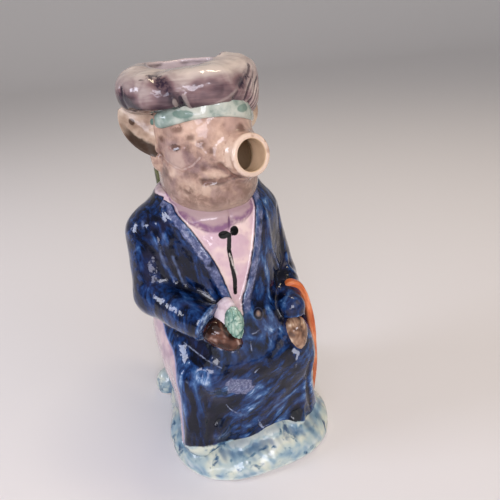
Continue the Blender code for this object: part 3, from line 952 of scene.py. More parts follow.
        # Pale streaks on the fold ridges, the shoulder, forearm and knee: painted highlight and thin blue
        light = [
            [(-49.5, -2.5, 166), (-48.5, -5.7, 160.6), (-46.2, -9.3, 145.8), (-42.2, -12, 135.6)],
            [(-44.7, -5.1, 168), (-43.7, -8.2, 163), (-39.7, -13.5, 146.3), (-36.9, -15.9, 132.1)],
            [(-54.5, 4, 172), (-53.6, 0.5, 163)],
            [(14, -21, 144.6), (9.4, -23.8, 139.6), (5.2, -26, 135), (2, -28.1, 128.5)],
            [(22.2, -11.7, 164), (22.8, -12.5, 158.1), (23.4, -13.6, 147)],
            [(23.4, -13.6, 145.2), (27.1, -10, 135.2), (30.9, -8.2, 123.8)],
            [(-44, -23, 129.3), (-40, -26, 128.8), (-35.6, -29.4, 128.2)],
            [(-47.7, -42.3, 79.4), (-42.7, -46.6, 75), (-37.9, -45.8, 63.1)],
            [(-43.2, -38.9, 89.3), (-41.5, -43.3, 86.1), (-38.5, -48, 79.6)],
        ]
        drop = nearest_line(points, [[(24.1, -45.4, 82.6), (27.0, -45.3, 79.2)]]) - 1.5
        tail = nearest_line(points, [[(26, -46, 80), (25.0, -46.2, 69.6)]]) - 0.5
        past = (points - np.array([-30.2, -40.8, 114.8])) @ np.array([0.62, -0.72, -0.3])
        wrist = nearest_line(points, [[(-34, -36, 116), (-28, -42, 114)]])
        shoes = [Egg((-31.5, -49, 41.5), (7, 7, 5.6)), Egg((25, -49, 27.5), (6.5, 7, 6))]
        return {
            "bow": np.minimum(nearest_egg(points, loops), nearest_line(points, [cord]) - 1.4),
            "split": Egg((-5.4, -18.5, 170), (0.9, 7, 3.8)).distance(points),
            "glare": nearest_line(points, [glare]) - 0.7,
            "button": Egg((4.9, -34.5, 110.2), (3.7, 5, 3.9)).distance(points),
            "patch": np.maximum(patch_distance(x, z, patch), y + 30),
            "pink_side": np.maximum.reduce([border - y, y - outer, z - 104, side]),
            "pale_lines": nearest_line(points, pale) - 0.3,
            "streaks": nearest_line(points, light) - 0.8,
            "drip": np.minimum(drop, tail),
            "cuff": np.maximum(np.abs(past + 0.2) - 1.2, wrist - 15),
            "shoe_dark": nearest_egg(points, shoes),
        }

    @staticmethod
    def _tone(points: Array) -> Array:
        """Dabs of painted shade, below nought, and of painted light and pale wash, above it.

        Args:
            points: places, in mm.

        Returns:
            The tone at each place.
        """
        return dabbed(points, [
            [-32, -38, 99, 10, -0.25], [-22, -46, 91, 8, -0.25], [2, -49, 75, 8, -0.5],
            [-44, -43, 46, 10, -0.55], [-45, -43, 66, 9, -0.4], [-45, -43, 28, 9, -0.35],
            [-28, -47, 56, 8, -0.35], [19, -44, 78, 8, -0.4], [25, -48, 29, 7, -0.5],
            [14, -46, 56, 8, -0.2], [-40, -46, 83, 7, 0.1], [-14, -49, 84, 9, 0.12],
            [-6, -47, 55, 12, 0.16], [-24, -46, 47, 7, 0.12], [12, -46, 34, 8, 0.1],
            [8, -45, 22, 9, 0.16], [-34, -12, 150, 12, -0.42], [-25, -26, 135, 8, -0.12],
            [-47, -5, 174, 14, -0.25], [-40, -18, 113, 10, -0.2], [-52, -10, 124, 8, 0.05],
            [13, -21, 146, 8, 0.2], [20, -15, 165, 10, 0.08], [32, -12, 120, 7, -0.3],
            [8, -33, 116, 9, 0.05], [30, -32, 108, 8, -0.15], [38, -40, 50, 9, 0.12],
            [44, -34, 24, 8, 0.15],
        ])

    @staticmethod
    def _brush(points: Array, right: Array, left: Array) -> dict[str, Array]:
        """Places squeezed along the way the brush went: down the coat, over the lap, along the sleeve.

        Args:
            points: places, in mm.
            right: the coat's right edge at the height of each place.
            left: its left edge.

        Returns:
            Places and shares, by attribute name.
        """
        x, y, z = points.T
        share = step(x, -12, 6)
        down = np.stack([x - right * (1 - share) - left * share, y, z * 0.3], -1)
        over = np.stack([(x * 0.8 + z * 0.5) * 0.5, y, z - 0.55 * x], -1)
        way = np.array([0.49, -0.87, -0.07])
        along = (points @ way)[:, None] * way
        near = Limb(((-52, 4, 120, 14), (-26, -42, 116, 12))).distance(points)
        return {
            "brush_down": down,
            "brush_over": over,
            "brush_along": points - 0.68 * along,
            "over_share": step(95 - z, 0, 14) * step(-y, 14, 30) * step(x, -38, -28),
            "along_share": step(-near, -3, 1),
        }

    def build(self, finish: Material) -> Object:
        """Makes the body and thins the faces of its hollow.

        Args:
            finish: its glaze.

        Returns:
            The object.
        """
        skin = Skin(self.field, *self.box, self.cell)
        paint = self.paint(skin)
        piece = make_piece("body", skin.points, skin.faces, finish, paint)
        wanted = TRIANGLE_LIMIT / (2 * len(skin.faces))
        if wanted < 1:
            LOG.info("body: its hollow is thinned to %.2f", wanted)
            thinned(piece, paint["lining"] < self.hollow_depth, wanted)
        return piece


@dataclass
class Base:
    """The mound under the figure, with a lump at each of its back corners."""

    roundness: float = 2.7
    waist: float = 6.5
    foot_half: float = 10.0
    foot_inset: float = 11.5
    foot_centre: float = 7.0
    foot_tall: float = 13.0
    foot_blend: float = 3.0
    cell: float = 1.0
    box: tuple = ((-66, -68, -2), (66, 68, 27))

    def outline(self, turn: Array) -> Array:
        """Reach of a rounded square at each angle, drawn in a little at the flanks.

        Args:
            turn: angles, from the front towards the left.

        Returns:
            Reaches, in mm.
        """
        way = heading(turn)
        across = np.abs(way[..., 0] / (BASE_WIDTH / 2)) ** self.roundness
        deep = np.abs(way[..., 1] / (BASE_DEPTH / 2)) ** self.roundness
        drawn_in = self.waist * bell(np.abs(turn) - math.radians(111), 0.38)
        return (across + deep) ** (-1 / self.roundness) - drawn_in

    def field(self, points: Array) -> Array:
        """Distance to the mound: its plan less the inset of its side at each height.

        Args:
            points: places, in mm.

        Returns:
            Distances, in mm.
        """
        x, y, z = points[..., 0], points[..., 1], points[..., 2]
        turn = np.arctan2(x, -y)
        swell = 1 + 0.12 * np.sin(3 * turn + 0.8) + 0.07 * np.sin(7 * turn)
        levels = np.array([-2.0, 0, 1.2, 5.5, 9.6, 13.5, 17.5, 21.5, 26])
        insets = np.array([3.5, 2.4, 0.7, 0, 1.2, 4.6, 10, 17.0, 40])
        inset = eased(z / swell, levels, insets)
        beside = np.hypot(x, y) - self.outline(turn) + inset
        steepness = np.sqrt(1 + np.clip((inset - 1) / 4, 0, 3) ** 2)
        folds = 0.9 * np.sin(11 * turn + 2.2 * np.sin(2 * turn) + 0.6) * step(z, 3, 9)
        bumps = 0.6 * ripple(points, 15, 11) + 0.25 * ripple(points, 7, 12)
        distance = beside / steepness - (0.55 * folds + bumps) * step(z, 1, 5)
        for side in Side:
            centre = (side.value * (BASE_WIDTH / 2 - self.foot_inset), BASE_DEPTH / 2 - self.foot_inset)
            foot = Egg((*centre, self.foot_centre), (self.foot_half, self.foot_half, self.foot_tall))
            distance = add_form(points, distance, foot, self.foot_blend)
        return np.maximum(distance, 0.02 - z)

    def build(self, finish: Material) -> Object:
        """Makes the base.

        Args:
            finish: its glaze.

        Returns:
            The object.
        """
        skin = Skin(self.field, *self.box, self.cell)
        points = skin.points
        paint = {
            "crest": skin.crest(1.6),
            "foot_rim": points[:, 2] - 1.6,
        }
        return make_piece("base", points, skin.faces, finish, paint)


@dataclass
class Head:
    """The head with its bored snout, brow, cheek and mouth."""

    cell: float = 0.8
    tube_back: float = -12.0
    bore_back: float = -17.0
    top: float = 243.0
    tube_rounding: float = 1.8
    tube_blend: float = 6.0
    lobe_blend: float = 3.0
    relief_reach: float = 6.0
    bore_rounding: float = 1.0
    box: tuple = ((-44, -42, 170), (32, 52, 249))
    folds: tuple[Fold, ...] = (
        Fold(((-17.9, -19.2, 197), (-12.4, -21.3, 197.9), (-6.8, -22.7, 197.9), (0.8, -27.8, 200.5),
              (8.2, -32.7, 202.3)), 1.6, -0.8),
        Fold(((-33, -5.5, 216.7), (-30.3, -9.5, 217.7), (-26.5, -13.5, 218.6)), 1.2, -0.9),
        Fold(((-34, -3.5, 219.6), (-30.3, -9.5, 221.2), (-25.5, -14.5, 221)), 1.6, 0.7),
        Fold(((-37.4, 5.9, 210.7), (-33.9, -3.8, 207), (-28.8, -11.3, 204.4), (-23.7, -15.8, 207.1),
              (-19.2, -18.7, 211.8)), 1.3, -0.6),
        Fold(((-8.7, -23.7, 207.4), (-5.2, -25.3, 204.5), (-2.9, -26.9, 200.2)), 1.8, -0.8),
        Fold(((-4, -24, 219), (2, -24.5, 221), (8, -24, 219.5)), 2.0, -0.5),
    )
    lobes: tuple[Egg, ...] = (Egg((-38.6, 11, 208.5), (4, 5, 8.5)), Egg((24, 24, 209), (4, 5, 8)))
    lumps: tuple[tuple[tuple[float, float, float], float, float], ...] = (
        ((-32, -7, 227), 6, 1.2),
        ((-21, -17, 213), 9, 0.5),
        ((-31, -7, 211), 6, 0.4),
        ((-12, -22, 225), 6, 0.8),
        ((-12, -20, 188), 9, 0.8),
    )

    def field(self, points: Array) -> Array:
        """Distance to the head: skull, snout tube, folds and lumps, less the bore and the hollow.

        Args:
            points: places, in mm.

        Returns:
            Distances, in mm.
        """
        along, out = Clay.bore(points)
        outer = SPOUT_BORE / 2 + SPOUT_WALL
        flare = outer - 0.2 + 0.3 * bell(along + 2, 4)
        tube = cut(out - flare, SPOUT_REACH - along, self.tube_rounding)
        tube = np.maximum(tube, self.tube_back - along)
        distance = join(Clay.skull(points), tube, self.tube_blend)
        for lobe in self.lobes:
            distance = add_form(points, distance, lobe, self.lobe_blend)
        near = (np.abs(distance) < self.relief_reach) & (along < 4)
        out_by = np.zeros(distance.shape)
        for fold in self.folds:
            out_by[near] += fold.relief(points[near])
        for centre, size, height in self.lumps:
            gap = np.linalg.norm(points[near] - np.array(centre), axis=-1)
            out_by[near] += height * bell(gap, size)
        out_by[near] += 0.3 * ripple(points[near], 21, 21) + 0.08 * ripple(points[near], 6, 22)
        distance = distance - out_by
        hole = np.maximum(out - SPOUT_BORE / 2, self.bore_back - along)
        distance = cut(distance, hole, self.bore_rounding)
        distance = np.maximum(distance, points[..., 2] - self.top)
        set_back = 0.5 * step(points[..., 2], 228, 231)
        return np.maximum(distance, set_back - Clay.hollow(points))

    def paint(self, skin: Skin) -> dict[str, Array]:
        """Distances to freckles, eye, mouth, muzzle, cheek fold, snout rim and lining, and the crests.

        Args:
            skin: the surface of the piece.

        Returns:
            Values for each point, by attribute name.
        """
        points = skin.points
        along, out = Clay.bore(points)
        freckles = [
            (-28.7, -11, 228.5, 3.4), (-23.1, -16.1, 223.1, 2.6), (-17.9, -19.1, 219.7, 2.8),
            (-13.1, -21.2, 215.5, 2.4), (-36.4, 2.1, 201.6, 3.2), (5.1, -20.7, 225.9, 3.0),
            (-5, -21.4, 229, 1.2), (-18, -20, 205.5, 1.5), (-27, -13.5, 192, 3.0), (-20, -19, 199, 1.4),
            (12, -19, 222, 1.6), (-36, 1, 221, 2.2), (-31, 32, 215, 3.2), (24, 24, 214, 3.0),
            (-14, 46, 212, 3.4), (8, 44, 221, 2.6), (20, 32, 200, 2.6), (-34, 22, 200, 2.6),
            (-8.9, -23.7, 207.6, 2.2), (-3.4, -25.8, 205.6, 2.4), (-1, -28, 201.5, 2.0), (-37, 5, 211, 2.0),
        ]
        muzzle = [(-8.7, -23.7, 207.4), (-4.2, -25.8, 204.5), (-1.9, -27.9, 199.2)]
        bore = np.where(along > -16, out - SPOUT_BORE / 2 - 0.5, 9)
        return {
            "freckles": nearest_egg(points, [Egg(s[:3], (s[3], s[3] * 1.5, s[3] * 0.85)) for s in freckles]),
            "eye": Egg((-30.2, -9.3, 217.4), (3.0, 4.0, 1.9)).distance(points),
            "mouth": nearest_line(points, [self.folds[0].stops]),
            "muzzle": nearest_line(points, [muzzle]) - 1.9,
            "fold": nearest_line(points, [self.folds[3].stops]) - 0.4,
            "rim": SPOUT_REACH - along,
            "lining": np.minimum(Clay.hollow(points) - 1.2, bore),
            "crest": skin.crest(1.4),
        }

    def build(self, finish: Material) -> Object:
        """Makes the head."""
        skin = Skin(self.field, *self.box, self.cell)
        return make_piece("head", skin.points, skin.faces, finish, self.paint(skin))


def skull_reach(turn: Array, height: Array, widest: float = 60.0, halvings: int = 22) -> Array:
    """How far the head's surface is from its upright axis, by halving.

    Args:
        turn: angles, from the front towards the left.
        height: heights, in mm.
        widest: farthest reach that is looked for, in mm.
        halvings: how often the span is halved.

    Returns:
        Reaches, in mm.
    """
    low = np.zeros(np.broadcast(turn, height).shape)
    high = low + widest
    axis = np.stack([HEAD_CENTRE[0] + 0 * low, HEAD_CENTRE[1] + 0 * low, height + 0 * low], -1)
    for _ in range(halvings):
        middle = (low + high) / 2
        inside = Clay.skull(heading(turn) * middle[..., None] + axis) < 0
        low = np.where(inside, middle, low)
        high = np.where(inside, high, middle)
    return low


@dataclass
class Ribbon:
    """The soft band round the head under the cap, with a rounded end by the right ear."""

    low: float = 229.0
    arch: float = 9.0
    height: float = 10.4
    thickness: float = 2.6
    end_turn: float = -78.0
    span: float = 351.0
    dome: float = 11.0

    def build(self, finish: Material) -> Object:
        """Carries a pillow-shaped section round the head, closed to a point at the end.

        Args:
            finish: its glaze.

        Returns:
            The object.
        """
        turn = np.radians(np.linspace(self.end_turn, self.end_turn + self.span, 300))[:, None]
        around = np.linspace(0, math.tau, 40, endpoint=False)[None]
        middle = self.low + self.arch * bell(angle_from(turn, -15), math.radians(50))
        middle = middle + 2.4 * bell(angle_from(turn, 22), math.radians(34))
        far = np.degrees(turn) - self.end_turn
        to_end = np.minimum(far, self.span - far) * 0.6
        dome = np.sqrt(1 - np.clip(1 - to_end / self.dome, 0, 0.999) ** 2)
        half = self.height / 2 * dome
        height = middle + half * fuller(np.sin(around), 0.75)
        folds = 0.35 * np.sin(8 * turn + height * 0.5) + 0.25 * np.sin(19 * turn)
        thin = 1 - 0.45 * bell(angle_from(turn, 50), 0.5)
        inwards = np.where(np.cos(around) < 0, 0.25, 1.0)
        folds = folds + 1.4 * bell(angle_from(turn, -70), 0.25)
        out = (self.thickness + folds) * fuller(np.cos(around), 0.8) * dome * thin * inwards
        reach = skull_reach(turn + 0 * around, height) + out
        points = np.stack(
            [HEAD_CENTRE[0] + np.sin(turn) * reach, HEAD_CENTRE[1] - np.cos(turn) * reach, height], -1
        )
        points, faces = capped(points)
        x, y = points.T[:2]
        # Teal patches; the large one behind the ear is painted shade
        patches = [(-25.5, -15.5, 236.4, 6.5, 2.3), (-38, 14, 232, 9, 6), (9, -20, 236.5, 5.5, 2.2)]
        patch = nearest_egg(points, [Egg(p[:3], (p[3], p[3], p[4])) for p in patches])
        far = np.degrees(np.arctan2(x - HEAD_CENTRE[0], HEAD_CENTRE[1] - y)) - self.end_turn
        return make_piece("ribbon", points, faces, finish, {"patch": patch, "far": far})


@dataclass
class Cap:
    """The soft cap: a puffy roll of cloth round the filling mouth, hollow inside."""

    cell: float = 0.8
    radius: float = 43.0
    roll: float = 19.0
    power: float = 2.44
    pleat_height: float = 0.4
    pleats_round: int = 62
    pleat_slant: float = 1.5
    pleat_turn: float = 46.0
    puff_width: float = 9.0
    relief_reach: float = 6.0
    rim_rounding: float = 1.6
    box: tuple = ((-64, -32, 219), (39, 71, 269))
    puffs: tuple[tuple[tuple[float, float, float], float], ...] = (
        ((-50, -4, 247), 1.4),
        ((19, -9, 238), 1.2),
    )
    folds: tuple[Fold, ...] = (
        Fold(((-34, -2, 258.5), (-36.5, -10.5, 256), (-35.5, -16, 252), (-32.5, -19.4, 248),
              (-29, -20.8, 244.5), (-26, -19, 241)), 4.6, -1.3),
        Fold(((-28.3, -21.1, 246.3), (-26.8, -20.0, 242.9), (-24.9, -17.5, 239)), 1.5, -3.0),
        Fold(((-25, -22.3, 247), (-23.6, -21.3, 242.9), (-21.9, -18.9, 239.5)), 1.3, 0.6),
        Fold(((-30.8, -20.2, 245), (-29.0, -17.7, 240.7)), 1.3, 0.5),
        Fold(((17.6, -6, 257), (15.8, -11, 253.7), (10, -16.9, 250.3), (5.8, -20.1, 247.4),
              (2.7, -20.8, 242.5)), 2.2, -1.0),
        Fold(((21.5, -5.5, 255), (19.5, -8.2, 251.6), (13.7, -13.8, 245), (9.5, -15.9, 238.6)), 1.2, -0.9),
        Fold(((23.5, -3, 250), (20.6, -7.1, 247.5), (16.7, -9.2, 240.9), (11, -18, 235.9)), 1.2, -0.9),
        Fold(((18.5, -9.5, 250), (15.2, -11.5, 244), (10, -16, 238)), 1.0, 0.7),
        Fold(((-14.3, -21.9, 239.1), (-9.3, -22.8, 240.8), (-5.1, -24.0, 242.6), (0.5, -23.3, 245.1),
              (5.6, -20.3, 247.5)), 1.6, 0.45),
        Fold(((-54.0, 4.3, 250.8), (-54.1, 4.4, 246.6), (-52.8, 4.8, 241.0)), 1.8, -0.9),
        Fold(((-30, 52, 256), (-38, 58, 249), (-40, 58, 240)), 3.0, -1.4),
        Fold(((6, 52, 256), (12, 56, 248), (12, 54, 239)), 3.0, -1.2),
    )

    def outline(self, turn: Array) -> tuple[Array, Array, Array]:
        """Outer radius, underside height and crown height at each angle.

        Args:
            turn: angles, from the front towards the left.

        Returns:
            The three lengths, in mm.
        """
        puffs = 0.7 * np.sin(5 * turn + 0.6) + 0.5 * np.sin(8 * turn)
        brow = np.clip(np.cos(turn + 0.1), 0, 1) ** 1.3
        radius = self.radius + 3 * brow + puffs
        underside = 229.5 + 7.5 * brow - 2 * np.sin(turn) - 5.5 * bell(angle_from(turn, 52), 0.4)
        peak = bell(angle_from(turn, 62), 0.56)
        dip = bell(angle_from(turn, -35), 0.5)
        crown = 260.4 + 4.3 * peak - 1.5 * dip + 0.3 * np.sin(3 * turn)
        return radius, underside, crown

    def polar(self, points: Array) -> tuple[Array, Array]:
        """Angle and reach from the cap's upright axis."""
        offset = points[..., :2] - CAP_CENTRE[:2]
        return np.arctan2(offset[..., 0], -offset[..., 1]), np.hypot(offset[..., 0], offset[..., 1])

    @staticmethod
    def rim_wave(turn: Array) -> Array:
        """How the mouth's rim wanders in and out."""
        return 0.9 * np.sin(5 * turn + 1) + 0.6 * np.sin(9 * turn) + 0.3 * np.sin(17 * turn + 2)

    def roll_shape(self, points: Array) -> tuple[Array, Array]:
        """Distance to the bare roll, a superellipse carried round the mouth, and the level on it.

        Args:
            points: places, in mm.

        Returns:
            Distances in mm, and levels from -1 to 1.
        """
        turn, reach = self.polar(points)
        radius, underside, crown = self.outline(turn)
        middle, half = (underside + crown) / 2, (crown - underside) / 2
        level = (points[..., 2] - middle) / half
        out = np.maximum(reach - radius + self.roll, 0) / self.roll
        up = np.abs(level)
        form = (out**self.power + up**self.power) ** (1 / self.power) + 1e-9
        steepness = form ** (1 - self.power) * np.hypot(
            out ** (self.power - 1) / self.roll, up ** (self.power - 1) / half
        )
        return (form - 1) / np.maximum(steepness, 0.04), level

    def relief(self, points: Array) -> Array:
        """Folds, puffs and the soft unevenness of the cloth.

        Args:
            points: places, in mm.

        Returns:
            Heights, in mm.
        """
        turn, _ = self.polar(points)
        out = 0.5 * ripple(points, 19, 31) + 0.18 * ripple(points, 8, 32)
        for fold in self.folds:
            out += fold.relief(points)
        pleats = self.pleat_height * np.sin(turn * self.pleats_round - self.pleat_slant * points[..., 2])
        out += pleats * bell(angle_from(turn, self.pleat_turn), 0.24) * step(255 - points[..., 2], 0, 12)
        for place, height in self.puffs:
            out += height * bell(np.linalg.norm(points - np.array(place), axis=-1), self.puff_width)
        return out

    def field(self, points: Array) -> Array:
        """Distance to the cap with the hollow and its wandering mouth taken out.

        Args:
            points: places, in mm.

        Returns:
            Distances, in mm.
        """
        distance, _ = self.roll_shape(points)
        near = np.abs(distance) < self.relief_reach
        distance[near] -= self.relief(points[near])
        turn, reach = self.polar(points)
        rise = step(points[..., 2], 242, 250)
        shaft = reach - MOUTH_RADIUS - 0.6 - self.rim_wave(turn) * step(points[..., 2], 247, 257)
        inside = np.maximum(Clay.hollow(points), shaft - 40 * (1 - rise)) - 0.5 * rise
        return cut(distance, inside, self.rim_rounding)

    def paint(self, skin: Skin) -> dict[str, Array]:
        """Height on the roll, crests, the lining, and distances to blots and brushed lines.

        Args:
            skin: the surface of the piece.

        Returns:
            Values for each point, by attribute name.
        """
        points = skin.points
        _, level = self.roll_shape(points)
        turn, reach = self.polar(points)
        # Dark lines under the cap's left edge and in the left groove, and with the slit, are painted shade;
        # one is a painted dash
        lines = [
            [(-47, 1.9, 237.5), (-42, 4, 234.5), (-36, 2, 234.5)],
            [(-44.8, -7.4, 254.9), (-41.5, -10, 254.2)],
            [(-54, 4.3, 250.8), (-52.8, 4.8, 241.0), (-47, 5, 236)],
        ]
        slit = [(-26.2, -18.6, 245.8), (-24.6, -16.6, 240)]
        rim = reach - MOUTH_RADIUS - self.rim_wave(turn)
        blots = [
            (-37.6, -9.5, 256.6, 4.2), (-35, -15.5, 253.6, 3.4), (-33, -19, 249, 2.6), (9, -17.5, 250, 2.6),
            (14, -13, 252.4, 2.4), (-53, 3, 247, 4.5), (-49, -1, 239.5, 5), (-43, 2, 236.5, 4.5),
            (-28, 60, 245, 5), (20, 46, 243, 5),
        ]
        return {
            "level": level,
            "crest": skin.crest(1.4),
            "broad_crest": skin.crest(3.5),
            "lining": np.maximum(Clay.hollow(points) - 1.2, points[:, 2] - 246),
            "rim": np.where(points[:, 2] > 252, np.abs(rim - 2.4), 9.0),
            # The mouth's inner wall, which is painted light
            "inner": np.where(points[:, 2] > 236, rim - 2.2, 9.0),
            "dark_lines": np.minimum(nearest_line(points, lines) - 0.5, nearest_line(points, [slit]) - 1.9),
            "blots": nearest_egg(points, [Egg(b[:3], (b[3], b[3], b[3])) for b in blots]),
            "tone": self._tone(points),
            "brush": np.stack([turn * 4.5, level * 9, points[:, 1] * 0.1], -1),
        }

    @staticmethod
    def _tone(points: Array) -> Array:
        """Dabs of painted purple shade, below nought, and of painted cream light, above it.

        Args:
            points: places, in mm.

        Returns:
            The tone at each place.
        """
        return dabbed(points, [
            [-33, -18, 251, 7, -0.22], [-36, -14, 255, 6, -0.25], [-30, -20, 246, 6, -0.12],
            [-53, 4, 243, 9, -0.55], [-45, 4, 236, 9, -0.75], [-37, -14, 240, 5, -0.2],
            [-44, -9, 246, 6, 0.18], [-43, -1, 258, 7, 0.1], [-15, -21, 256, 10, 0.22],
            [-3, -21, 257, 10, 0.25], [7, -16, 258, 8, 0.15], [-17, -24, 250, 6, -0.38],
            [-8, -25, 250.5, 6, -0.4], [1, -24, 251, 6, -0.38], [8, -20, 251, 5, -0.25],
            [-16, -23, 241, 5, 0.1], [-4, -24, 243, 6, 0.12], [10, -17, 250, 4, -0.25],
            [18, -8, 246, 8, 0.15],
        ])

    def build(self, finish: Material) -> Object:
        """Makes the cap."""
        skin = Skin(self.field, *self.box, self.cell)
        return make_piece("cap", skin.points, skin.faces, finish, self.paint(skin))


@dataclass
class Ear:
    """A cupped leaf from the side of the head up to the cap."""

    side: Side
    span: float
    width: float = 21.5
    thickness: float = 4.2
    lift: float = 0.0
    # How strong the painted shade along the lower edge is
    edge_shade: float = 1.0
    root: tuple[float, float, float] = (27.0, 3.0, 11.5)
    tip_back: float = 16.0
    tip_height: float = 32.5
    cupping: float = 5.0

    def build(self, finish: Material) -> Object:
        """Carries a cupped leaf section from root to tip.

        Args:
            finish: its glaze.

        Returns:
            The object.
        """
        outward = ACROSS * self.side.value
        out, back, height = self.root
        root = HEAD_CENTRE + outward * out - AHEAD * back + np.array([0, 0, height + self.lift])
        tip = HEAD_CENTRE + outward * self.span - AHEAD * self.tip_back
        tip = tip + np.array([0, 0, self.tip_height + self.lift])
        along = tip - root
        broad = np.cross(along, AHEAD) * self.side.value
        broad = broad / np.linalg.norm(broad)
        share = np.linspace(0, 1, 90)[:, None, None]
        around = np.linspace(0, math.tau, 64, endpoint=False)[None, :, None]
        blunt = np.sqrt(1 - np.clip(share, 0, 0.998) ** 7)
        fullness = blunt * (0.45 + 0.55 * np.sin(math.pi * (0.3 + 0.62 * share)) ** 0.8)
        middle = root + along * share + broad * 1.5 * np.sin(math.pi * share)
        edge = np.cos(around)
        curl = np.sin(math.pi * np.clip(share, 0.1, 1)) ** 0.5
        cup = AHEAD * (self.cupping * edge**2 - 1.2 * bell(edge + 0.3, 0.6)) * curl
        fat = self.thickness / 2 * (0.5 + 0.5 * np.sin(math.pi * (0.25 + 0.7 * share))) * (0.4 + 0.6 * blunt)
        thick = AHEAD * fat * fuller(np.sin(around), 0.8)
        rings = middle + broad * fullness * self.width / 2 * edge + cup + thick
        points, faces = capped(rings)
        paint = {
            "edge": np.append((edge + 0 * share).ravel(), [0, 0]),
            "share": np.append((share + 0 * edge).ravel(), [0, 1]),
            "front": np.append((np.sin(around) + 0 * share).ravel(), [0, 0]),
            "edge_shade": np.full(len(points), self.edge_shade),
        }
        name = "right_ear" if self.side is Side.RIGHT else "left_ear"
        return make_piece(name, points, faces, finish, paint)


def smooth_path(stops: Array, count: int) -> tuple[Array, Array, float]:
    """Even places on a smooth line through the stops, with the radius, and how far along they are.

    Args:
        stops: places and radii along the line, in mm.
        count: how many places to give.

    Returns:
        Places with radii, the distance along to each, and the length of the line.
    """
    knots = np.concatenate([[0], np.cumsum(np.linalg.norm(np.diff(stops[:, :3], axis=0), axis=1))])
    spread = (1 - np.cos(np.linspace(0.03, math.pi - 0.03, count))) / 2
    far = knots[-1] * spread
    return np.stack([eased(far, knots, stops[:, k]) for k in range(stops.shape[1])], -1), far, knots[-1]


def bar(
    stops: Array, wide: Array, count: int, sides: int, flatness: float, squareness: float = 1.0
) -> tuple[Array, Array, Array, Array]:
    """A bar with an oval section, carried along a smooth line, with domed ends.

    Args:
        stops: places with the half width at each.
        wide: the way that the width runs.
        count: how many sections.
        sides: points in each section.
        flatness: thickness for each unit of width.
        squareness: 1 for an oval and less for a fuller section.

    Returns:
        Points, faces, distance along the bar and the section angle for each point.
    """
    line, far, length = smooth_path(stops, count)
    half = line[:, 3]
    to_end = np.minimum(far, length - far)
    dome = np.sqrt(np.maximum(1 - np.clip(1 - to_end / half, 0, 1) ** 2, 0.0004))
    along = np.gradient(line[:, :3], axis=0)
    deep = np.cross(along, wide)
    deep = deep / np.linalg.norm(deep, axis=1)[:, None]
    side = np.cross(deep, along)
    side = side / np.linalg.norm(side, axis=1)[:, None]
    turn = np.linspace(0, math.tau, sides, endpoint=False)
    wide_by = fuller(np.cos(turn), squareness)
    deep_by = fuller(np.sin(turn), squareness) * flatness
    section = side[:, None] * wide_by[:, None] + deep[:, None] * deep_by[:, None]
    rings = line[:, None, :3] + section * (half * dome)[:, None, None]
    points, faces = capped(rings)
    return (
        points,
        faces,
        np.append(np.repeat(far, sides), [0, length]),
        np.append(np.tile(turn, count), [0, 0]),
    )


@dataclass
class Handle:
    """The loop handle from the cap down to the small of the back."""

    width: float = 17.0
    thickness: float = 11.5
    finger_gap: float = 27.0

    def build(self, finish: Material) -> Object:
        """Carries an oval section along the loop.

        Args:
            finish: its glaze.

        Returns:
            The object.
        """
        upper = Clay.OVALS[:, 0] >= 121
        back = (Clay.OVALS[upper, 2] + Clay.OVALS[upper, 5]).max() - HEAD_CENTRE[1]
        loop = back + self.finger_gap + self.thickness / 2
        root = back - 9
        profile = [(root, 240), (loop * 0.82, 237), (loop, 212), (loop, 172), (loop * 0.8, 124), (root, 104)]
        spread = (1.25, 1.03, 1, 1, 1.03, 1.25)
        stops = [(*(np.array([*HEAD_CENTRE[:2], h]) - AHEAD * d), self.width / 2 * s)
                 for (d, h), s in zip(profile, spread)]
        points, faces, _, _ = bar(np.array(stops), ACROSS, 150, 40, self.thickness / self.width, 0.9)
        return make_piece("handle", points, faces, finish)


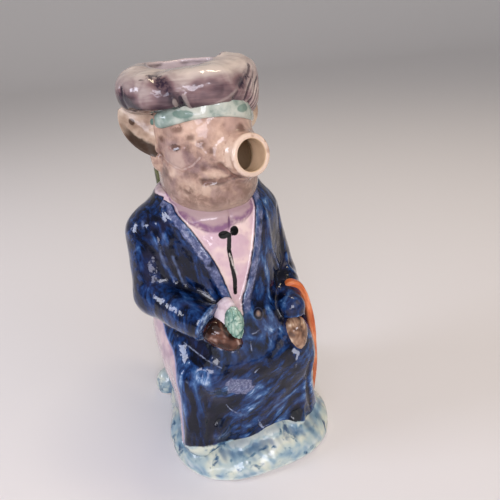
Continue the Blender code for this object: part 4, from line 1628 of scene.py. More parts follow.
@dataclass
class Hands:
    """Both trotters, the posy with its wrap, and the strap over the left forearm."""

    def trotter(self, name: str, finish: Material, stops: tuple, flatness: float) -> None:
        """A smooth tapering bar with a cleft down its front.

        Args:
            name: name of the piece.
            finish: its glaze.
            stops: places and half widths from the wrist to the tip, in mm.
            flatness: thickness for each unit of width.
        """
        points, faces, along, turn = bar(np.array(stops, float), np.array([0.3, 0.1, 1.0]), 90, 48, flatness)
        middle = np.array(stops, float)[:, :3].mean(0)
        way = points - middle
        cleft = bell(angle_from(turn, 90), 0.22) * step(along, along.max() * 0.55, along.max() * 0.8)
        points = points - 0.9 * cleft[:, None] * way / np.maximum(np.linalg.norm(way, axis=1), 1)[:, None]
        points = points + 0.25 * ripple(points, 7, 41)[:, None] * way / np.linalg.norm(way, axis=1)[:, None]
        make_piece(name, points, faces, finish)

    def posy(self, leaves: Material, paper: Material) -> None:
        """A bunch of small round blooms on an egg, and a cone of paper behind it.

        Args:
            leaves: glaze of the blooms.
            paper: glaze of the wrap.
        """
        up = np.linspace(-math.pi / 2, math.pi / 2, 90)[1:-1, None]
        turn = np.linspace(0, math.tau, 120, endpoint=False)[None]
        way = np.stack([np.sin(turn) * np.cos(up), -np.cos(turn) * np.cos(up), np.sin(up) + 0 * turn], -1)
        draw = np.random.default_rng(8)
        blooms = draw.normal(size=(26, 3))
        blooms /= np.linalg.norm(blooms, axis=1)[:, None]
        near = np.sort(np.arccos(np.clip(way @ blooms.T, -1, 1)), axis=-1)
        domes = 1.0 - 0.9 * step(near[..., 1] - near[..., 0], 0.25, 0.0)
        swirl = 0.5 + 0.5 * np.cos(near[..., 0] * 26)
        radius = np.array([5.7, 5.9, 11.6])
        rings = np.array([-15.2, -45.4, 114.4]) + way * radius * (1 + 0.07 * domes + 0.02 * swirl)[..., None]
        points, faces = capped(rings)
        between = np.append((near[..., 1] - near[..., 0]).ravel(), [1, 1])
        make_piece("posy", points, faces, leaves, {"between": between})
        stops = [(-14.5, -31.5, 126, 4.4), (-17.5, -37, 122, 7.2), (-18.6, -42.2, 116, 6.8),
                 (-16.6, -45.4, 108.5, 4.8), (-12.5, -46, 103, 3.0)]
        points, faces, _, _ = bar(np.array(stops), np.array([0.75, 0.2, 0.6]), 80, 40, 0.62)
        make_piece("posy_wrap", points, faces, paper)

    def strap(self, finish: Material) -> None:
        """A flat band over the left forearm, down the flank and on to the base.

        Args:
            finish: its glaze.
        """
        stops = [
            (30.5, -18, 116, 3.4), (34, -20.5, 118.6, 3.6), (38.5, -22, 117, 3.8), (42.2, -22.6, 110.5, 4.0),
            (45, -22.6, 101, 4.2), (47.2, -22.8, 90, 4.4), (48.8, -22.4, 78, 4.4), (50.2, -21, 64, 4.4),
            (52.4, -18, 48, 4.2), (54, -14, 32, 4.0), (53, -12, 12, 3.8),
        ]
        points, faces, along, turn = bar(np.array(stops), np.array([0.12, 1.0, 0.0]), 170, 32, 0.62, 0.7)
        make_piece("strap", points, faces, finish, {"along": along, "turn": turn})

    def build(self, glazes: "Glazes") -> None:
        """Makes all of them.

        Args:
            glazes: the jug's glazes.
        """
        right = [(-32, -37, 115.2, 7.0), (-28, -41, 112.4, 8.0), (-23.0, -44.4, 108, 7.9),
                 (-16.8, -46.6, 103, 6.2), (-11.4, -47, 99.4, 3.6)]
        left = [(30.2, -31, 101, 5), (29.8, -34.6, 96, 7.6), (29.2, -37.2, 88.5, 8.2),
                (28.4, -38.6, 81.5, 6.8), (27.6, -39, 76.4, 3.4)]
        self.trotter("right_trotter", glazes.red_brown(), right, 0.95)
        self.trotter("left_trotter", glazes.olive_brown(), left, 0.95)
        self.posy(glazes.leaf_green(), glazes.pale_paper())
        self.strap(glazes.orange())


def add_node(
    tree: bpy.types.NodeTree, kind: str, inputs: dict | None = None, **settings: object
) -> bpy.types.Node:
    """Adds one node with its settings, links and values.

    Args:
        tree: the node tree.
        kind: the node's type after ShaderNode.
        inputs: a socket to link or a value to set, by input name or number.
        settings: the node's own properties.

    Returns:
        The node.
    """
    node = tree.nodes.new(f"ShaderNode{kind}")
    for key, value in settings.items():
        setattr(node, key, value)
    for key, value in (inputs or {}).items():
        if isinstance(value, Socket):
            tree.links.new(value, node.inputs[key])
        else:
            node.inputs[key].default_value = value
    return node


@dataclass(frozen=True)
class GlazeFinish:
    """A clear glaze over paint on white earthenware: its gloss and how uneven it lies."""

    name: str
    roughness: float = 0.3
    coat: float = 0.85
    coat_roughness: float = 0.05
    coat_ior: float = 1.4
    sheen_level: float = 0.08
    unevenness: float = 0.12


class Paint:
    """Builds one painted glaze: layers of colour over each other, then gloss and unevenness."""

    def __init__(self, finish: GlazeFinish) -> None:
        """Starts an empty material with the finish's gloss.

        Args:
            finish: name and gloss.
        """
        self.material = bpy.data.materials.new(finish.name)
        self.material.use_nodes = True
        self.tree = self.material.node_tree
        self.finish = finish
        self.surface = self.tree.nodes["Principled BSDF"]
        self.surface.inputs["Roughness"].default_value = finish.roughness
        self.surface.inputs["Specular IOR Level"].default_value = finish.sheen_level
        self.surface.inputs["Coat Weight"].default_value = finish.coat
        self.surface.inputs["Coat IOR"].default_value = finish.coat_ior
        self.surface.inputs["Coat Roughness"].default_value = finish.coat_roughness
        metres = add_node(self.tree, "TexCoord").outputs["Object"]
        scaled = add_node(self.tree, "VectorMath", {0: metres, "Scale": 1 / MM}, operation="SCALE")
        self.place = scaled.outputs[0]
        self.colour: Socket | None = None

    def value(self, name: str) -> Socket:
        """The piece's attribute of this name."""
        return add_node(self.tree, "Attribute", attribute_name=name).outputs["Fac"]

    def vector(self, name: str) -> Socket:
        """The piece's vector attribute of this name."""
        return add_node(self.tree, "Attribute", attribute_name=name).outputs["Vector"]

    def grain(self, size: float, place: Socket | None = None, detail: float = 2.0,
              roughness: float = 0.55, twist: float = 0.0) -> Socket:
        """Soft noise with features of about this size in mm.

        Args:
            size: size of a feature, in mm.
            place: where the noise is read, or None for the jug's own places.
            detail: count of finer layers.
            roughness: strength of the finer layers.
            twist: how far it is swirled.

        Returns:
            The noise, from 0 to 1.
        """
        inputs = {"Vector": place or self.place, "Scale": 1 / size, "Detail": detail,
                  "Roughness": roughness, "Distortion": twist}
        return add_node(self.tree, "TexNoise", inputs).outputs["Fac"]

    def read(self, source: object) -> object:
        """The piece's attribute for a name, and a socket or number as it is."""
        return self.value(source) if isinstance(source, str) else source

    def maths(self, operation: str, *values: object) -> Socket:
        """One sum, product or the like of sockets, attribute names and numbers."""
        inputs = {place: self.read(value) for place, value in enumerate(values)}
        return add_node(self.tree, "Math", inputs, operation=operation).outputs[0]

    def total(self, *weighted: tuple[object, float]) -> Socket:
        """Sum of sockets, each times its weight.

        Args:
            *weighted: sockets, attribute names or numbers, each with a weight.

        Returns:
            The sum.
        """
        result: object = 0.0
        for socket, weight in weighted:
            result = self.maths("MULTIPLY_ADD", socket, weight, result)
        return result

    def inside(self, distance: object, soft: float, wobble: float = 0.0, size: float = 4.0) -> Socket:
        """1 inside a painted area and 0 outside, with a brushed, wandering edge.

        Args:
            distance: distance to the area, less than nought inside.
            soft: width of the edge in mm.
            wobble: how far the edge wanders in mm.
            size: how long each wander is in mm.

        Returns:
            The mask.
        """
        if wobble:
            shift = self.maths("SUBTRACT", self.grain(size), 0.5)
            distance = self.maths("MULTIPLY_ADD", shift, wobble * 4, distance)
        return self.between(distance, soft / 2, -soft / 2)

    def band(self, distance: object, half: float, shift: float = 0.0) -> Socket:
        """Distance to a band of this half width along an outline, moved inwards by the shift."""
        return self.maths("SUBTRACT", self.maths("ABSOLUTE", self.maths("ADD", distance, shift)), half)

    def broken(self, mask: Socket, size: float, start: float, end: float, detail: float = 2.0) -> Socket:
        """A mask with soft holes, where noise of this size falls short of the two values."""
        return self.maths("MULTIPLY", mask, self.between(self.grain(size, None, detail), start, end))

    def between(self, value: object, start: float, end: float) -> Socket:
        """0 at start and 1 at end with an S curve between."""
        inputs = {"Value": self.read(value), "From Min": start, "From Max": end}
        return add_node(self.tree, "MapRange", inputs, interpolation_type="SMOOTHSTEP").outputs[0]

    def mixed(self, share: object, below: object, above: object, strength: float = 1.0) -> Socket:
        """Two colours mixed by a share; hex values are turned to linear.

        Args:
            share: 0 for the first colour and 1 for the second.
            below: colour at 0.
            above: colour at 1.
            strength: part of the share that counts.

        Returns:
            The colour.
        """
        share = share if strength == 1.0 else self.maths("MULTIPLY", share, strength)
        below = linear(below) if isinstance(below, str) else below
        above = linear(above) if isinstance(above, str) else above
        inputs = {0: share, 6: below, 7: above}
        return add_node(self.tree, "Mix", inputs, data_type="RGBA", clamp_factor=True).outputs[2]

    def ramp(self, value: object, stops: list[tuple[float, str]]) -> Socket:
        """Colours along a value, each at its place.

        Args:
            value: socket to read.
            stops: place from 0 to 1 and hex colour of each stop.

        Returns:
            The colour.
        """
        node = add_node(self.tree, "ValToRGB", {"Fac": value})
        points = node.color_ramp.elements
        while len(points) < len(stops):
            points.new(0.5)
        for point, (place, colour) in zip(points, stops):
            point.position = place
            point.color = linear(colour)
        return node.outputs["Color"]

    def layer(self, mask: object, colour: object, strength: float = 1.0) -> None:
        """Paints a colour over what is there, where the mask is 1 and as thick as the strength says."""
        self.colour = self.mixed(mask, self.colour, colour, strength)

    def finished(self, height: object | None = None, depth: float = 0.25) -> Material:
        """Links the colour and lays the glaze: slow waves and, where given, brushed relief.

        Args:
            height: relief of the strokes, or None.
            depth: how far the strokes stand out.

        Returns:
            The material.
        """
        self.tree.links.new(self.colour, self.surface.inputs["Base Color"])
        waves = self.total((self.grain(10), 1.2), (self.grain(5), 0.5), (self.grain(2.0), 0.06))
        if height is not None:
            waves = self.maths("MULTIPLY_ADD", height, depth, waves)
        inputs = {"Height": waves, "Strength": 1.0, "Distance": self.finish.unevenness * MM * 3}
        bump = add_node(self.tree, "Bump", inputs)
        self.tree.links.new(bump.outputs["Normal"], self.surface.inputs["Normal"])
        self.tree.links.new(bump.outputs["Normal"], self.surface.inputs["Coat Normal"])
        return self.material


# In-glaze colours brushed on white earthenware: the eye sees thin washes, bare edges and shade painted
# into the folds, under a clear and slightly uneven glaze that mirrors the windows as small, sharp lights
class Glazes:
    """The jug's painted glazes. All are brushed on in-glaze colours under one clear, glossy glaze."""

    def coat(self) -> Material:
        """Cobalt blue brushed on the coat, with painted light on the ridges and painted shade in the
        creases.

        Below the hem the pale ground begins, with blue run down into it.

        Returns:
            The material.
        """
        paint = Paint(GlazeFinish("brushed_cobalt_blue_glaze", roughness=0.24))
        tones = []
        for name in ("brush_down", "brush_over", "brush_along"):
            place = paint.vector(name)
            tones.append(paint.total(
                (paint.grain(9, place, 2, 0.5, 1.2), 1.2),
                (paint.grain(3.6, place, 3, 0.6, 1.0), 0.7),
                (paint.grain(0.9, place, 2, 0.6), 0.17),
            ))
        over = add_node(paint.tree, "Mix", {0: paint.value("over_share"), 2: tones[0], 3: tones[1]})
        along = add_node(paint.tree, "Mix", {0: paint.value("along_share"), 2: over.outputs[0], 3: tones[2]})
        strokes = along.outputs[0]
        # Crests paint shade into the creases and light on the ridges; the tone dabs add painted shade and
        # light
        tone = paint.total(
            (paint.maths("SUBTRACT", strokes, 1.035), 1.55),
            ("tone", 0.95),
            ("crest", 0.28),
            ("broad_crest", 0.12),
        )
        tone = paint.maths("ADD", tone, 0.23)
        paint.colour = paint.ramp(tone, [
            (0.0, "#020617"), (0.2, "#041534"), (0.4, "#0e2a56"), (0.6, "#224270"), (0.8, "#466892"),
            (1.0, "#98aac3"),
        ])
        paint.layer(paint.between(paint.grain(14), 0.5, 0.68), "#3c3a56", 0.22)
        self._lapel(paint)
        self._shirt(paint)
        self._marks(paint, strokes)
        paint.layer(paint.inside("hem", 1.6, 1.1, 6), self.ground(paint))
        paint.layer(paint.inside("lining", 0.8), "#d8cdb9")
        return paint.finished(strokes, 0.08)

    @staticmethod
    def _lapel(paint: Paint) -> None:
        """The rolled edges, where the blue has run thin and grey.

        Args:
            paint: the material in the making.
        """
        grey = paint.ramp(paint.maths("MULTIPLY_ADD", paint.grain(2.4, None, 4, 0.7), 1.8, -0.4), [
            (0.0, "#1d2240"), (0.45, "#565c7d"), (0.75, "#8488a5"), (1.0, "#a9acc0"),
        ])
        mask = paint.inside(paint.maths("ADD", "lapel", 0.9), 1.4, 0.7, 4)
        patchy = paint.between(paint.grain(9), 0.34, 0.5)
        paint.layer(paint.maths("MULTIPLY", mask, paint.maths("MULTIPLY", patchy, 0.8)), grey)
        paint.layer(paint.inside(paint.band("shirt", 0.9), 0.8, 0.3), "#0b0d20", 0.75)

    @staticmethod
    def _shirt(paint: Paint) -> None:
        """Pale pink shirt with painted shade under the chin and collar; its bare white edge is partly
        painted highlight.

        Args:
            paint: the material in the making.
        """
        soft = paint.between(paint.grain(13), 0.4, 0.62)
        pink = paint.mixed(soft, "#c7a9b0", "#dcc4bc")
        streak = paint.between(paint.grain(4, None, 3, 0.6), 0.52, 0.7)
        pink = paint.mixed(streak, pink, "#bd97a3", 0.4)
        # Painted shade under the chin, darkening the collar
        pink = paint.mixed(paint.between("collar", 0.5, -3.0), pink, "#9a8083", 0.8)
        shade = paint.inside(paint.band("collar", 2.6, 2.0), 3.2, 0.8, 6)
        shade = paint.broken(shade, 5, 0.3, 0.6)
        pink = paint.mixed(shade, pink, "#764c70", 0.85)
        paint.layer(paint.inside("shirt", 0.7, 0.25, 4), pink)
        # White edge along the shirt: partly bare and partly a painted highlight on the lapel's step
        paint.layer(paint.inside(paint.band("shirt", 0.35, 0.7), 0.8), "#e0d3d3", 0.5)

    @staticmethod
    def _marks(paint: Paint, strokes: Socket) -> None:
        """Bow and cord, button, cuff, the worn patch, bare lines, the drip and the pink side.

        Args:
            paint: the material in the making.
            strokes: the coat's brush strokes.
        """
        speck = paint.grain(1.5, None, 4, 0.7)
        wear_and_shade = paint.ramp(paint.maths("MULTIPLY_ADD", speck, 2.2, -0.6), [
            (0.0, "#2c2a40"), (0.4, "#565a78"), (0.7, "#7a7e98"), (1.0, "#a0a2b4"),
        ])
        paint.layer(paint.inside("patch", 1.6, 1.2, 4), wear_and_shade, 0.85)
        paint.layer(paint.inside("shoe_dark", 5.0, 0.6), "#060914", 0.8)
        # Pale streaks along the ridges: painted highlight and thin blue
        streak = paint.broken(paint.inside("streaks", 1.6, 0.5, 5), 7, 0.36, 0.6)
        paint.layer(streak, "#7386ae", 0.6)
        bare = paint.broken(paint.inside("pale_lines", 0.8, 0.15, 3), 6, 0.28, 0.42)
        paint.layer(bare, "#a9b4cf", 0.7)
        paint.layer(paint.inside("drip", 1.0, 0.7, 2.5), "#b3bacb", 0.6)
        cuff = paint.ramp(paint.maths("SUBTRACT", strokes, 0.5), [
            (0.3, "#0f1832"), (0.5, "#2e436b"), (0.65, "#7289a9"), (0.8, "#a9b7c6"),
        ])
        paint.layer(paint.inside("cuff", 1.4, 0.5, 4), cuff)
        side = paint.mixed(paint.between(paint.grain(10), 0.42, 0.62), "#b39aa2", "#c6adae")
        spot = paint.maths("SUBTRACT", 1.0, paint.between(paint.grain(16), 0.3, 0.42))
        side = paint.mixed(spot, side, "#94788a", 0.6)
        paint.layer(paint.inside("pink_side", 1.0, 0.4, 7), side)
        paint.layer(paint.inside(paint.band("pink_side", 1.0), 1.4, 0.5), "#6f80ab", 0.75)
        # Brown centre and dark disc, grey-blue at the rim as a painted highlight
        ring = paint.ramp(paint.maths("MULTIPLY_ADD", "button", 0.22, 0.75), [
            (0.0, "#8a7262"), (0.28, "#54484a"), (0.4, "#0a0b18"), (0.62, "#0c1024"), (0.78, "#39425c"),
        ])
        paint.layer(paint.inside("button", 0.8, 0.2), ring)
        paint.layer(paint.inside("split", 0.8, 0.2, 2), "#5f3a5c", 0.8)
        paint.layer(paint.inside("bow", 0.5, 0.12, 2), "#050507")
        paint.layer(paint.inside("glare", 0.6, 0.25, 2), "#c9beb6", 0.8)

    @staticmethod
    def ground(paint: Paint) -> Socket:
        """The mound's mottled ground: cream, pale blue-green and dabs of teal.

        Args:
            paint: the material in the making.

        Returns:
            The colour.
        """
        broad = paint.grain(15, None, 2, 0.5, 0.6)
        pale = paint.ramp(paint.maths("MULTIPLY_ADD", broad, 2.4, -0.7), [
            (0.0, "#627f94"), (0.3, "#899fa8"), (0.55, "#a9b5b0"), (0.8, "#c0c3b2"), (1.0, "#c4c8c1"),
        ])
        dabs = paint.grain(12, None, 2, 0.5, 1.2)
        cell = paint.between(dabs, 0.52, 0.62)
        fine = paint.between(paint.grain(5.5, None, 3, 0.6, 0.8), 0.38, 0.62)
        pale = paint.mixed(paint.maths("MULTIPLY", cell, fine), pale, "#3f6880", 0.85)
        deep = paint.maths("MULTIPLY", paint.between(dabs, 0.61, 0.68), fine)
        return paint.mixed(deep, pale, "#1f3a5c", 0.85)

    def base(self) -> Material:
        """Sponged pale blue-green on the mound, bare clay at the foot rim.

        Returns:
            The material.
        """
        paint = Paint(GlazeFinish("sponged_pale_green_glaze", roughness=0.22))
        paint.colour = self.ground(paint)
        # Painted shade in the creases and painted light on the ridges
        paint.layer(paint.between("crest", -0.05, -0.5), "#38587a", 0.6)
        paint.layer(paint.between("crest", 0.15, 0.6), "#dfe0d6", 0.4)
        paint.layer(paint.inside("foot_rim", 1.2, 0.6, 8), "#cfc8bd")
        return paint.finished()

    def skin(self) -> Material:
        """Flesh pink and brown washes over white clay, with freckles.

        Returns:
            The material.
        """
        paint = Paint(GlazeFinish("flesh_wash_under_clear_glaze", roughness=0.22))
        wash = paint.total((paint.grain(14, None, 2, 0.5, 0.6), 1.0), (paint.grain(4, None, 3, 0.6), 0.5))
        paint.colour = paint.ramp(paint.maths("MULTIPLY_ADD", wash, 2.3, -1.2), [
            (0.0, "#6f554b"), (0.35, "#9a7c6d"), (0.65, "#b89985"), (1.0, "#ccb09a"),
        ])
        paint.layer(paint.between(paint.grain(18, None, 2, 0.5, 0.5), 0.46, 0.6), "#846a6c", 0.45)
        height = add_node(paint.tree, "SeparateXYZ", {0: paint.place}).outputs["Z"]
        # Painted light: the upper head and brow are lighter
        paint.layer(paint.between(height, 214, 228), "#d6b39f", 0.4)
        jowl = paint.between(height, 206, 184)
        paint.layer(jowl, "#806456", 0.45)
        streaks = paint.between(paint.grain(7, None, 3, 0.6, 1.0), 0.4, 0.64)
        paint.layer(paint.maths("MULTIPLY", jowl, streaks), "#70564a", 0.65)
        paint.layer(paint.between(height, 186, 176), "#b9a493", 0.6)
        paint.layer(paint.inside("fold", 1.2, 0.6), "#e0d2ca", 0.6)
        mouth = paint.inside(paint.maths("SUBTRACT", "mouth", 2.1), 3.0, 1.2, 5)
        paint.layer(paint.broken(mouth, 4, 0.3, 0.5, 3), "#4a3632", 0.9)
        # Brown along the crease at the snout's root: brown wash and painted shade
        paint.layer(paint.inside("muzzle", 2.6, 1.4, 3), "#5a403b", 0.75)
        freckle = paint.inside("freckles", 2.8, 0.6, 5)
        paint.layer(paint.broken(freckle, 4, 0.3, 0.5), "#5a3d33", 0.75)
        paint.layer(paint.inside("eye", 1.6, 0.6, 2), "#2a1511", 0.95)
        # Painted shade in the creases, round the snout's root
        paint.layer(paint.between("crest", -0.08, -0.5), "#8a6455", 0.4)
        paint.layer(paint.inside(paint.maths("SUBTRACT", "rim", 1.6), 2.4, 0.6), "#dcc3ae", 0.8)
        # A broken brown band behind the snout's rim: brown wash and painted shade
        wear_and_shade = paint.broken(paint.between("rim", 5, 2), 6, 0.5, 0.66)
        paint.layer(wear_and_shade, "#94705a", 0.6)
        paint.layer(paint.inside("lining", 0.8), "#d8bb9a")
        return paint.finished()

    def cap(self) -> Material:
        """Grey-beige wash on the crown, mauve below, with painted shade low on the roll and in the folds.

        Returns:
            The material.
        """
        paint = Paint(GlazeFinish("grey_mauve_wash_under_clear_glaze", roughness=0.2))
        place = paint.vector("brush")
        blot = paint.total((paint.grain(3.0, place, 3, 0.6, 0.6), 0.5),
                           (paint.grain(13, None, 2, 0.5, 0.5), 0.8))
        # Lower on the roll is painted darker as shade; the tone dabs add painted shade and light
        height = paint.total(("level", 0.3), (blot, 0.95), ("tone", 0.9))
        paint.colour = paint.ramp(paint.maths("SUBTRACT", height, 0.06), [
            (0.1, "#2b2026"), (0.32, "#574448"), (0.52, "#7e6565"), (0.72, "#a1908a"), (0.98, "#c9baaf"),
        ])
        # Painted shade in the creases and painted light on the ridges
        crease = paint.between(paint.total(("crest", 1.0), ("broad_crest", 0.4)), -0.2, -1.1)
        paint.layer(crease, "#30202c", 0.75)
        paint.layer(paint.between("crest", 0.3, 1.0), "#b9aaa0", 0.4)
        rim = paint.inside(paint.maths("SUBTRACT", "rim", 0.55), 0.7, 0.3, 4)
        rim = paint.broken(rim, 7, 0.35, 0.5)
        # The mouth's inner wall is painted light where it would lie in shade
        paint.layer(paint.inside("inner", 1.2, 0.3, 4), "#c3b2b2", 0.85)
        paint.layer(rim, "#4a3550", 0.8)
        blots = paint.inside("blots", 3.0, 1.6, 3)
        paint.layer(paint.broken(blots, 1.8, 0.4, 0.55, 3), "#251a2b", 0.85)
        # Dark lines: painted shade in the slit, the left groove and under the cap's edge, and a painted dash
        paint.layer(paint.inside("dark_lines", 0.9, 0.4, 4), "#1d1420", 0.85)
        paint.layer(paint.inside("lining", 3.0, 0.5), "#cdc0ab")
        return paint.finished()

    def ribbon(self) -> Material:
        """Celadon green brushed on the ribbon, darker where two strokes crossed, with painted shade by the
        ear.

        Returns:
            The material.
        """
        paint = Paint(GlazeFinish("celadon_green_glaze", roughness=0.2))
        wash = paint.total((paint.grain(9, None, 2), 1.0), (paint.grain(2.5, None, 3), 0.4))
        paint.colour = paint.ramp(paint.maths("MULTIPLY_ADD", wash, 1.5, -0.6), [
            (0.0, "#687a70"), (0.4, "#84958b"), (0.7, "#a5b0a4"), (1.0, "#c6c9bb"),
        ])
        # The end by the ear is left darker as painted shade, the rest lighter
        light = paint.maths("MULTIPLY", paint.between("far", 18, 55), paint.between(wash, 0.35, 0.85))
        paint.layer(light, "#c6c5b6", 0.75)
        # Teal patches; the large one behind the ear is painted shade
        paint.layer(paint.inside("patch", 1.0, 0.15, 3), "#4c6f63", 0.7)
        return paint.finished()

    def ear(self) -> Material:
        """Cream inside the ear, flesh pink behind, and dark brown painted shade along its lower edge.

        Returns:
            The material.
        """
        paint = Paint(GlazeFinish("cream_and_brown_ear_glaze", roughness=0.22, coat=0.45, unevenness=0.2))
        wash = paint.grain(8, None, 3)
        paint.colour = paint.ramp(wash, [(0.3, "#967b68"), (0.5, "#bda48f"), (0.7, "#d3bfaa")])
        share = paint.value("share")
        edge = paint.value("edge")
        wander = paint.grain(5)
        # Painted shade in dark brown along the lower edge, fading towards the tip
        run = paint.between(paint.total((edge, 1.0), (share, -0.35), (wander, 0.3), (1.0, -0.4)), -0.06, 0.1)
        run = paint.maths("MULTIPLY", run, paint.between(share, 0.9, 0.55))
        run = paint.maths("MULTIPLY", run, "edge_shade")
        paint.layer(run, "#2c1a12", 0.92)
        spot = paint.maths("POWER", paint.maths("MULTIPLY", paint.maths("SUBTRACT", share, 0.7), 15.0), 2.0)
        spot = paint.maths("ADD", spot, paint.maths("POWER", paint.maths("MULTIPLY", edge, 5.0), 2.0))
        paint.layer(paint.between(spot, 1.3, 0.5), "#3a2318", 0.85)
        paint.layer(paint.between("front", 0.3, -0.4), "#9a7a68", 0.9)
        return paint.finished()

    def handle(self) -> Material:
        """Olive green run over brown on the handle.

        Returns:
            The material.
        """
        paint = Paint(GlazeFinish("olive_green_glaze", roughness=0.2))
        wash = paint.total((paint.grain(11, None, 3, 0.6, 0.8), 1.0), (paint.grain(3, None, 3), 0.4))
        paint.colour = paint.ramp(paint.maths("MULTIPLY_ADD", wash, 2.0, -0.9), [
            (0.0, "#2f281c"), (0.35, "#47482f"), (0.65, "#616340"), (1.0, "#857f58"),
        ])
        return paint.finished()

    def red_brown(self) -> Material:
        """Thick red-brown glaze with paler swirls."""
        return self._brown("red_brown_glaze", ("#120604", "#361b13", "#5e3c2f", "#9c8276"))

    def olive_brown(self) -> Material:
        """Brown glaze with swirls that run thin to cream."""
        return self._brown("olive_brown_glaze", ("#40302a", "#80604c", "#a9896f", "#d9c2ab"))

    @staticmethod
    def _brown(name: str, colours: tuple[str, str, str, str]) -> Material:
        """A brown glaze with swirls, from its four tones.

        Args:
            name: name of the material.
            colours: its tones from dark to light, in hex.

        Returns:
            The material.
        """
        paint = Paint(GlazeFinish(name, roughness=0.14))
        swirl = paint.total((paint.grain(10, None, 1, 0.5, 1.4), 1.1), (paint.grain(4, None, 2, 0.5), 0.25))
        paint.colour = paint.ramp(paint.maths("MULTIPLY_ADD", swirl, 1.9, -0.85), [
            (0.0, colours[0]), (0.4, colours[1]), (0.72, colours[2]), (0.98, colours[3]),
        ])
        return paint.finished()

    def leaf_green(self) -> Material:
        """Soft green on the blooms, darker between them.

        Returns:
            The material.
        """
        paint = Paint(GlazeFinish("soft_green_glaze", roughness=0.2))
        wash = paint.grain(4, None, 3)
        paint.colour = paint.ramp(wash, [(0.35, "#678a7b"), (0.5, "#8da998"), (0.68, "#b6c6b5")])
        paint.layer(paint.between("between", 0.16, 0.03), "#4a7466", 0.5)
        paint.layer(paint.between(paint.grain(4.5), 0.58, 0.64), "#2f6155", 0.75)
        return paint.finished()

    def pale_paper(self) -> Material:
        """White with a breath of pink on the posy's wrap.

        Returns:
            The material.
        """
        paint = Paint(GlazeFinish("pale_pink_glaze", roughness=0.2))
        paint.colour = paint.mixed(paint.between(paint.grain(6), 0.4, 0.65), "#dccdd1", "#c6b0b8")
        return paint.finished()

    def orange(self) -> Material:
        """Orange brushed along the strap, in streaks from deep orange to pale.

        Returns:
            The material.
        """
        paint = Paint(GlazeFinish("brushed_orange_glaze", roughness=0.2))
        places = {0: paint.maths("MULTIPLY", "along", 0.15), 1: paint.maths("MULTIPLY", "turn", 3.0)}
        stripe = add_node(paint.tree, "CombineXYZ", places)
        wash = paint.grain(2.4, stripe.outputs[0], 3, 0.6)
        paint.colour = paint.ramp(wash, [
            (0.3, "#a34a22"), (0.48, "#c9693a"), (0.62, "#dd8e62"), (0.78, "#ecc3a6"),
        ])
        return paint.finished()


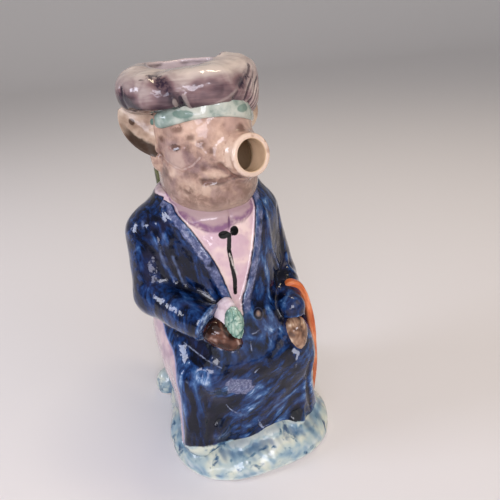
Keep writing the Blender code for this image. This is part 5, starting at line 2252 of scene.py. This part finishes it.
@dataclass
class Studio:
    """Pale floor, soft light and the camera of the photograph."""

    lens: float = 35.0587
    sensor: float = 36.0
    camera_place: tuple[float, float, float] = (-0.08445922, -0.28372598, 0.28136325)
    camera_right: tuple[float, float, float] = (0.93453624, -0.35143678, -0.05598393)
    camera_down: tuple[float, float, float] = (-0.1984824, -0.38416454, -0.90167752)
    camera_forward: tuple[float, float, float] = (0.2953756, 0.85376214, -0.4287697)
    floor_half: float = 10.0
    cove: float = 2.5
    wall: float = 4.0
    paper_colour: str = "#e0ddde"
    paper_roughness: float = 0.75
    daylight: float = 0.68
    daylight_spread: float = 60.0
    daylight_tilt: tuple[float, float] = (56.0, 12.0)
    room_colour: str = "#ece6e2"
    room_strength: float = 0.25
    # Name, place, target, width, height, watts and tint of each soft light
    lamps: tuple[tuple, ...] = (
        ("front_window", (-0.34, -1.22, 0.66), (0, 0, 0.16), 0.56, 0.5, 10.5, "#f1f1ff"),
        ("low_window", (-0.78, -1.06, 0.3), (0, 0, 0.18), 0.36, 0.3, 2.6, "#f0eeff"),
        ("side_window", (-1.2, 0.2, 0.62), (0, 0, 0.16), 0.4, 0.4, 7.0, "#e8edff"),
        ("ceiling_lamp", (0.3, 0.2, 1.5), (0, 0, 0.1), 0.7, 0.14, 6.0, "#ffeccc"),
        ("room", (0.9, -0.7, 0.9), (0, 0, 0.12), 0.9, 0.9, 3.0, "#ffe9d2"),
    )

    def build(self) -> None:
        """Makes the floor, the lights, the world and the camera."""
        bend = np.linspace(0, math.pi / 2, 24)
        back = self.floor_half / 4 + self.cove * np.sin(bend)
        up = self.cove * (1 - np.cos(bend))
        line = np.stack([np.concatenate([[-self.floor_half], back, back[-1:]]),
                         np.concatenate([[0], up, [self.cove + self.wall]])], -1)
        places = [(side * self.floor_half, y, z) for y, z in line.tolist() for side in (-1, 1)]
        faces = [(2 * k, 2 * k + 1, 2 * k + 3, 2 * k + 2) for k in range(len(line) - 1)]
        mesh = bpy.data.meshes.new("floor")
        mesh.from_pydata(places, [], faces)
        mesh.shade_smooth()
        finish = bpy.data.materials.new("matt_white_paper")
        finish.use_nodes = True
        surface = finish.node_tree.nodes["Principled BSDF"]
        surface.inputs["Base Color"].default_value = linear(self.paper_colour)
        surface.inputs["Roughness"].default_value = self.paper_roughness
        mesh.materials.append(finish)
        floor = bpy.data.objects.new("floor", mesh)
        bpy.context.scene.collection.objects.link(floor)
        for lamp in self.lamps:
            self.area(*lamp)
        data = bpy.data.lights.new("daylight", "SUN")
        data.energy = self.daylight
        data.angle = math.radians(self.daylight_spread)
        daylight = bpy.data.objects.new("daylight", data)
        daylight.rotation_euler = (*np.radians(self.daylight_tilt).tolist(), 0)
        bpy.context.scene.collection.objects.link(daylight)
        world = bpy.data.worlds.new("soft_room")
        world.use_nodes = True
        background = world.node_tree.nodes["Background"]
        background.inputs["Color"].default_value = linear(self.room_colour)
        background.inputs["Strength"].default_value = self.room_strength
        bpy.context.scene.world = world
        bpy.context.scene.view_settings.view_transform = "Standard"
        self.camera()

    @staticmethod
    def area(name: str, place: tuple, target: tuple, wide: float, high: float, watts: float,
             tint: str) -> None:
        """A rectangular soft light that faces a target.

        Args:
            name: name of the lamp.
            place: where it hangs, in m.
            target: where it points, in m.
            wide: width, in m.
            high: height, in m.
            watts: its power.
            tint: its colour, in hex.
        """
        data = bpy.data.lights.new(name, "AREA")
        data.shape = "RECTANGLE"
        data.size = wide
        data.size_y = high
        data.energy = watts
        data.color = linear(tint)[:3]
        light = bpy.data.objects.new(name, data)
        toward = np.array(target) - np.array(place)
        toward = toward / np.linalg.norm(toward)
        side = np.cross(toward, (0, 0, 1))
        side = side / np.linalg.norm(side)
        turned = Matrix(np.column_stack([side, np.cross(side, toward), -toward]).tolist()).to_4x4()
        light.matrix_world = Matrix.Translation(place) @ turned
        bpy.context.scene.collection.objects.link(light)

    def camera(self) -> None:
        """Sets the camera at the photograph's place, from its right, down and forward ways."""
        ways = [self.camera_right, -np.array(self.camera_down), -np.array(self.camera_forward)]
        data = bpy.data.cameras.new("camera")
        data.lens = self.lens
        data.sensor_width = self.sensor
        data.clip_start = 0.01
        camera = bpy.data.objects.new("camera", data)
        turned = Matrix(np.column_stack(ways).tolist()).to_4x4()
        camera.matrix_world = Matrix.Translation(self.camera_place) @ turned
        bpy.context.scene.collection.objects.link(camera)
        bpy.context.scene.camera = camera


def main() -> None:
    """Builds the studio and the pieces in order."""
    logging.basicConfig(level=logging.INFO, format="%(name)s %(message)s")
    glazes = Glazes()
    Studio().build()
    Body().build(glazes.coat())
    Base().build(glazes.base())
    Head().build(glazes.skin())
    Ribbon().build(glazes.ribbon())
    Cap().build(glazes.cap())
    ear = glazes.ear()
    Ear(Side.RIGHT, 46.5).build(ear)
    Ear(Side.LEFT, 41.5, width=16.5, lift=3.0, edge_shade=0.15).build(ear)
    Handle().build(glazes.handle())
    Hands().build(glazes)


if __name__ == "__main__":
    main()
